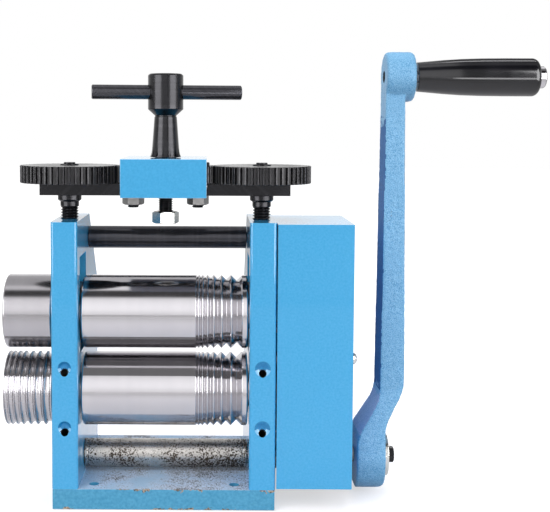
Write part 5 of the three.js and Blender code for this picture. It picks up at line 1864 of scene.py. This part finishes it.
    def build(self) -> None:
        """Builds the whole sub-assembly."""
        self.bridge()
        self.housing()
        self.housing_fixings()
        phase = math.pi / 50
        self.gear("left_adjusting_gear", -SCREW_X, phase, Body.LEFT_SCREW, True)
        self.gear("right_adjusting_gear", SCREW_X, phase, Body.RIGHT_SCREW, True)
        self.gear("centre_gear", 0.0, 0.0, Body.T_HANDLE, False)
        self.pressure_screw("left", -1, Body.LEFT_SCREW)
        self.pressure_screw("right", 1, Body.RIGHT_SCREW)
        self.handle()
        self.cross_bar()
        nut = hex_nut(16.0, 188.5, 196.7, 5.0, 11.0, (0.0, ROLL_Y))
        publish("lock_nut_plated", nut, [ZINC], Body.T_HANDLE, ["lock_nut"], 0.12)


# Studio


@dataclass
class Studio:
    """The floor, the light and the camera."""

    lens: float = 70.17
    shift: Pair = (0.1366, -0.1055)
    eye: Place = (30.11, -760.09, 254.41)
    yaw: float = -0.53
    pitch: float = -3.82
    roll: float = 0.17
    day: float = 0.5
    sweep: tuple[Pair, ...] = (
        (-2, 1.16), (3, 1.22), (9, 1.34), (14, 1.45), (21, 1.48), (28, 1.45), (35, 1.38),
        (41, 1.3), (46, 1.2), (50, 0.95), (53, 0.5), (56, 0.12), (58, 0.07), (73, 0.07),
        (75, 0.3), (78, 0.9), (84, 1.15), (90, 1.1), (96, 0.7), (120, 0.65), (150, 0.7),
    )
    sweep_radius: float = 1900.0
    sweep_half: float = 4000.0
    sweep_edge: float = 440.0
    boxes: tuple[Pair, ...] = ((-70, -28), (30, 72))
    box_tones: Pair = (7.2, 8.0)
    box_reach: float = 1200.0

    def camera(self) -> None:
        """Places the camera at the photograph's viewpoint."""
        yaw, pitch, roll = (math.radians(a) for a in (self.yaw, self.pitch, self.roll))
        ahead = Vector((
            math.sin(yaw) * math.cos(pitch), math.cos(yaw) * math.cos(pitch), math.sin(pitch),
        ))
        level = Vector((math.cos(yaw), -math.sin(yaw), 0.0))
        above = level.cross(ahead)
        right = level * math.cos(roll) + above * math.sin(roll)
        up = above * math.cos(roll) - level * math.sin(roll)
        lens = bpy.data.cameras.new("camera")
        lens.sensor_width = 36.0
        lens.lens = self.lens
        lens.shift_x, lens.shift_y = self.shift
        lens.clip_start, lens.clip_end = 0.01, 50.0
        camera = bpy.data.objects.new("camera", lens)
        turn = Matrix((right, up, -ahead)).transposed().to_4x4()
        camera.matrix_world = Matrix.Translation(Vector(self.eye) * MM) @ turn
        bpy.context.scene.collection.objects.link(camera)
        bpy.context.scene.camera = camera

    def world(self) -> None:
        """A white surround for the camera and for reflections, softer as light."""
        world = bpy.data.worlds.new("studio")
        world.use_nodes = True
        bpy.context.scene.world = world
        tree = Tree(world.node_tree)
        tree.tree.nodes.clear()
        path = tree.add("ShaderNodeLightPath").outputs
        seen = tree.math("MAXIMUM", path["Is Camera Ray"], tree.math(
            "MAXIMUM", path["Is Glossy Ray"], path["Is Transmission Ray"],
        ))
        strength = tree.math("ADD", self.day, tree.math("MULTIPLY", seen, 1 - self.day))
        light = tree.add("ShaderNodeBackground", {"Color": (1, 1, 1, 1), "Strength": strength})
        tree.add("ShaderNodeOutputWorld", {"Surface": light.outputs[0]})

    def floor(self) -> None:
        """A pale floor that keeps the mill's shadow and fades into the white surround."""
        form = bmesh.new()
        bmesh.ops.create_circle(form, cap_ends=True, segments=96, radius=6.0)
        mesh = bpy.data.meshes.new("floor")
        form.to_mesh(mesh)
        form.free()
        floor = bpy.data.objects.new("floor", mesh)
        floor.location = (0.0, 0.0, -0.0005)
        bpy.context.scene.collection.objects.link(floor)
        material = bpy.data.materials.new("floor_paper")
        material.use_nodes = True
        tree = Tree(material.node_tree)
        tree.tree.nodes.clear()
        place = tree.add("ShaderNodeTexCoord").outputs["Object"]
        radius = tree.add("ShaderNodeVectorMath", {0: place}, operation="LENGTH").outputs["Value"]
        far = tree.ramp(radius, 0.22, 0.75)
        path = tree.add("ShaderNodeLightPath").outputs
        paper = tree.add("ShaderNodeBsdfDiffuse", {
            "Color": tree.blend(far, (0.62, 0.61, 0.64, 1.0), (0.3, 0.3, 0.3, 1.0)),
        })
        seen = tree.math("MULTIPLY", path["Is Camera Ray"], tree.ramp(far, 0.0, 1.0, 0.58, 1.0))
        glow = tree.math("ADD", seen, tree.math("MULTIPLY", path["Is Glossy Ray"], 0.26))
        shine = tree.add("ShaderNodeEmission", {"Color": (1, 1, 1, 1), "Strength": glow})
        both = tree.add("ShaderNodeAddShader", {0: paper.outputs[0], 1: shine.outputs[0]})
        tree.add("ShaderNodeOutputMaterial", {"Surface": both.outputs[0]})
        mesh.materials.append(material)

    def panel(self, name: str, rows: Sequence[tuple[Place, Place, float]]) -> None:
        """A panel that only reflections see, such as a softbox, a table or a dark gap.

        Args:
            name: its name.
            rows: its cross-lines in millimetres, each from one end to the other, and how much
                light comes from there.
        """
        form = bmesh.new()
        ends = [[form.verts.new(Vector(place) * MM) for place in row[:2]] for row in rows]
        for (a, b), (c, d) in zip(ends, ends[1:]):
            form.faces.new((a, b, d, c))
        mesh = bpy.data.meshes.new(name)
        form.to_mesh(mesh)
        form.free()
        tones = [row[2] for row in rows for _ in range(2)]
        mesh.attributes.new("tone", "FLOAT", "POINT").data.foreach_set("value", tones)
        panel = bpy.data.objects.new(name, mesh)
        bpy.context.scene.collection.objects.link(panel)
        for part in ("camera", "diffuse", "transmission", "volume_scatter", "shadow"):
            setattr(panel, f"visible_{part}", False)
        material = bpy.data.materials.new(name)
        material.use_nodes = True
        tree = Tree(material.node_tree)
        tree.tree.nodes.clear()
        tone = tree.add("ShaderNodeAttribute", attribute_name="tone").outputs["Fac"]
        light = tree.add("ShaderNodeEmission", {"Color": (0.99, 0.985, 1.0, 1.0), "Strength": tone})
        tree.add("ShaderNodeOutputMaterial", {"Surface": light.outputs[0]})
        mesh.materials.append(material)

    def panels(self) -> None:
        """Places the studio that the rolls reflect: a lit sweep in front, and two softboxes."""
        for name, low, high, share in (
            ("front_sweep", -self.sweep_half, self.sweep_edge, 1.0),
            ("front_corner", self.sweep_edge, self.sweep_half, 0.3),
        ):
            sweep = []
            for angle, tone in self.sweep:
                turn = math.radians(angle)
                y = ROLL_Y - self.sweep_radius * math.cos(turn)
                z = 100.0 + self.sweep_radius * math.sin(turn)
                sweep.append(((low, y, z), (high, y, z), tone * share))
            self.panel(name, sweep)
        edge = [(0.0, 0.86), (62.0, 0.9), (66.9, 0.9), (67.0, 0.2), (69.9, 0.2), (70.0, 1.1)]
        self.panel("table_front", [
            ((-2500, -494, z), (2500, -494, z), tone) for z, tone in edge
        ])
        for side, (low, high), tone in zip(("left", "right"), self.boxes, self.box_tones):
            near, far = [
                (self.box_reach * math.sin(math.radians(a)),
                 ROLL_Y - self.box_reach * math.cos(math.radians(a))) for a in (low, high)
            ]
            self.panel(f"{side}_softbox", [
                ((*near, z), (*far, z), level * tone)
                for z, level in ((-200, 0.0), (-60, 1.0), (900, 1.0), (1150, 0.0))
            ])

    def strip_light(self) -> None:
        """Places the narrow light over the grip, which gives it a thin bright line."""
        rows = []
        for angle, tone in ((110, 0.0), (111, 3.8), (118, 3.8), (119, 0.0)):
            turn = math.radians(angle)
            y = DRIVE_Y - 1000.0 * math.cos(turn)
            z = GRIP_Z + 1000.0 * math.sin(turn)
            rows.append(((320, y, z), (760, y, z), tone))
        self.panel("strip_light", rows)

    def lamp(self, name: str, place: Place, aim: Place, size: float, power: float) -> None:
        """A soft square lamp.

        Args:
            name: its name.
            place: where it stands, in millimetres.
            aim: what it points at.
            size: its side in metres.
            power: its power in watts.
        """
        light = bpy.data.lights.new(name, "AREA")
        light.shape = "SQUARE"
        light.size = size
        light.energy = power
        lamp = bpy.data.objects.new(name, light)
        run = (Vector(aim) - Vector(place)).to_track_quat("-Z", "Y").to_matrix().to_4x4()
        lamp.matrix_world = Matrix.Translation(Vector(place) * MM) @ run
        lamp.visible_glossy = False
        bpy.context.scene.collection.objects.link(lamp)

    def build(self) -> None:
        """Builds the studio."""
        self.camera()
        self.world()
        self.floor()
        self.panels()
        self.strip_light()
        self.panel("roll_gap_shade", [
            ((-118, -52.5, z), (50, -52.5, z), 0.22) for z in (88.0, 110.5)
        ])
        low = [
            (self.box_reach * math.sin(math.radians(a)),
             ROLL_Y - self.box_reach * math.cos(math.radians(a))) for a in (15, 31)
        ]
        self.panel("low_softbox", [((*low[0], z), (*low[1], z), 6.4) for z in (-200, 170)])
        self.lamp("key", (-900, -1300, 1300), (0, 0, 120), 1.3, 20.0)
        self.lamp("fill", (1300, -1100, 700), (60, 0, 140), 1.2, 11.0)
        self.lamp("top", (0, 300, 1500), (0, 0, 150), 1.4, 14.0)


def dress_leftovers() -> None:
    """Gives every solid that still shows a fitting finish."""
    for name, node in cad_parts.items():
        if not node.hide_render:
            node.data.materials.clear()
            node.data.materials.append(material_of(GEAR_STEEL))
            LOG.info("%s: kept as packed", name)


def main() -> None:
    """Builds the dressed mill and the studio."""
    logging.basicConfig(level=logging.INFO, format="%(message)s")
    bpy.context.scene.view_settings.view_transform = "Standard"
    Studio().build()
    for assembly in (Frame(), GearCover(), Rolls(), GearTrain(), Drive(), Adjustment()):
        LOG.info("building %s", type(assembly).__name__)
        assembly.build()
    dress_leftovers()


if __name__ == "__main__":
    main()
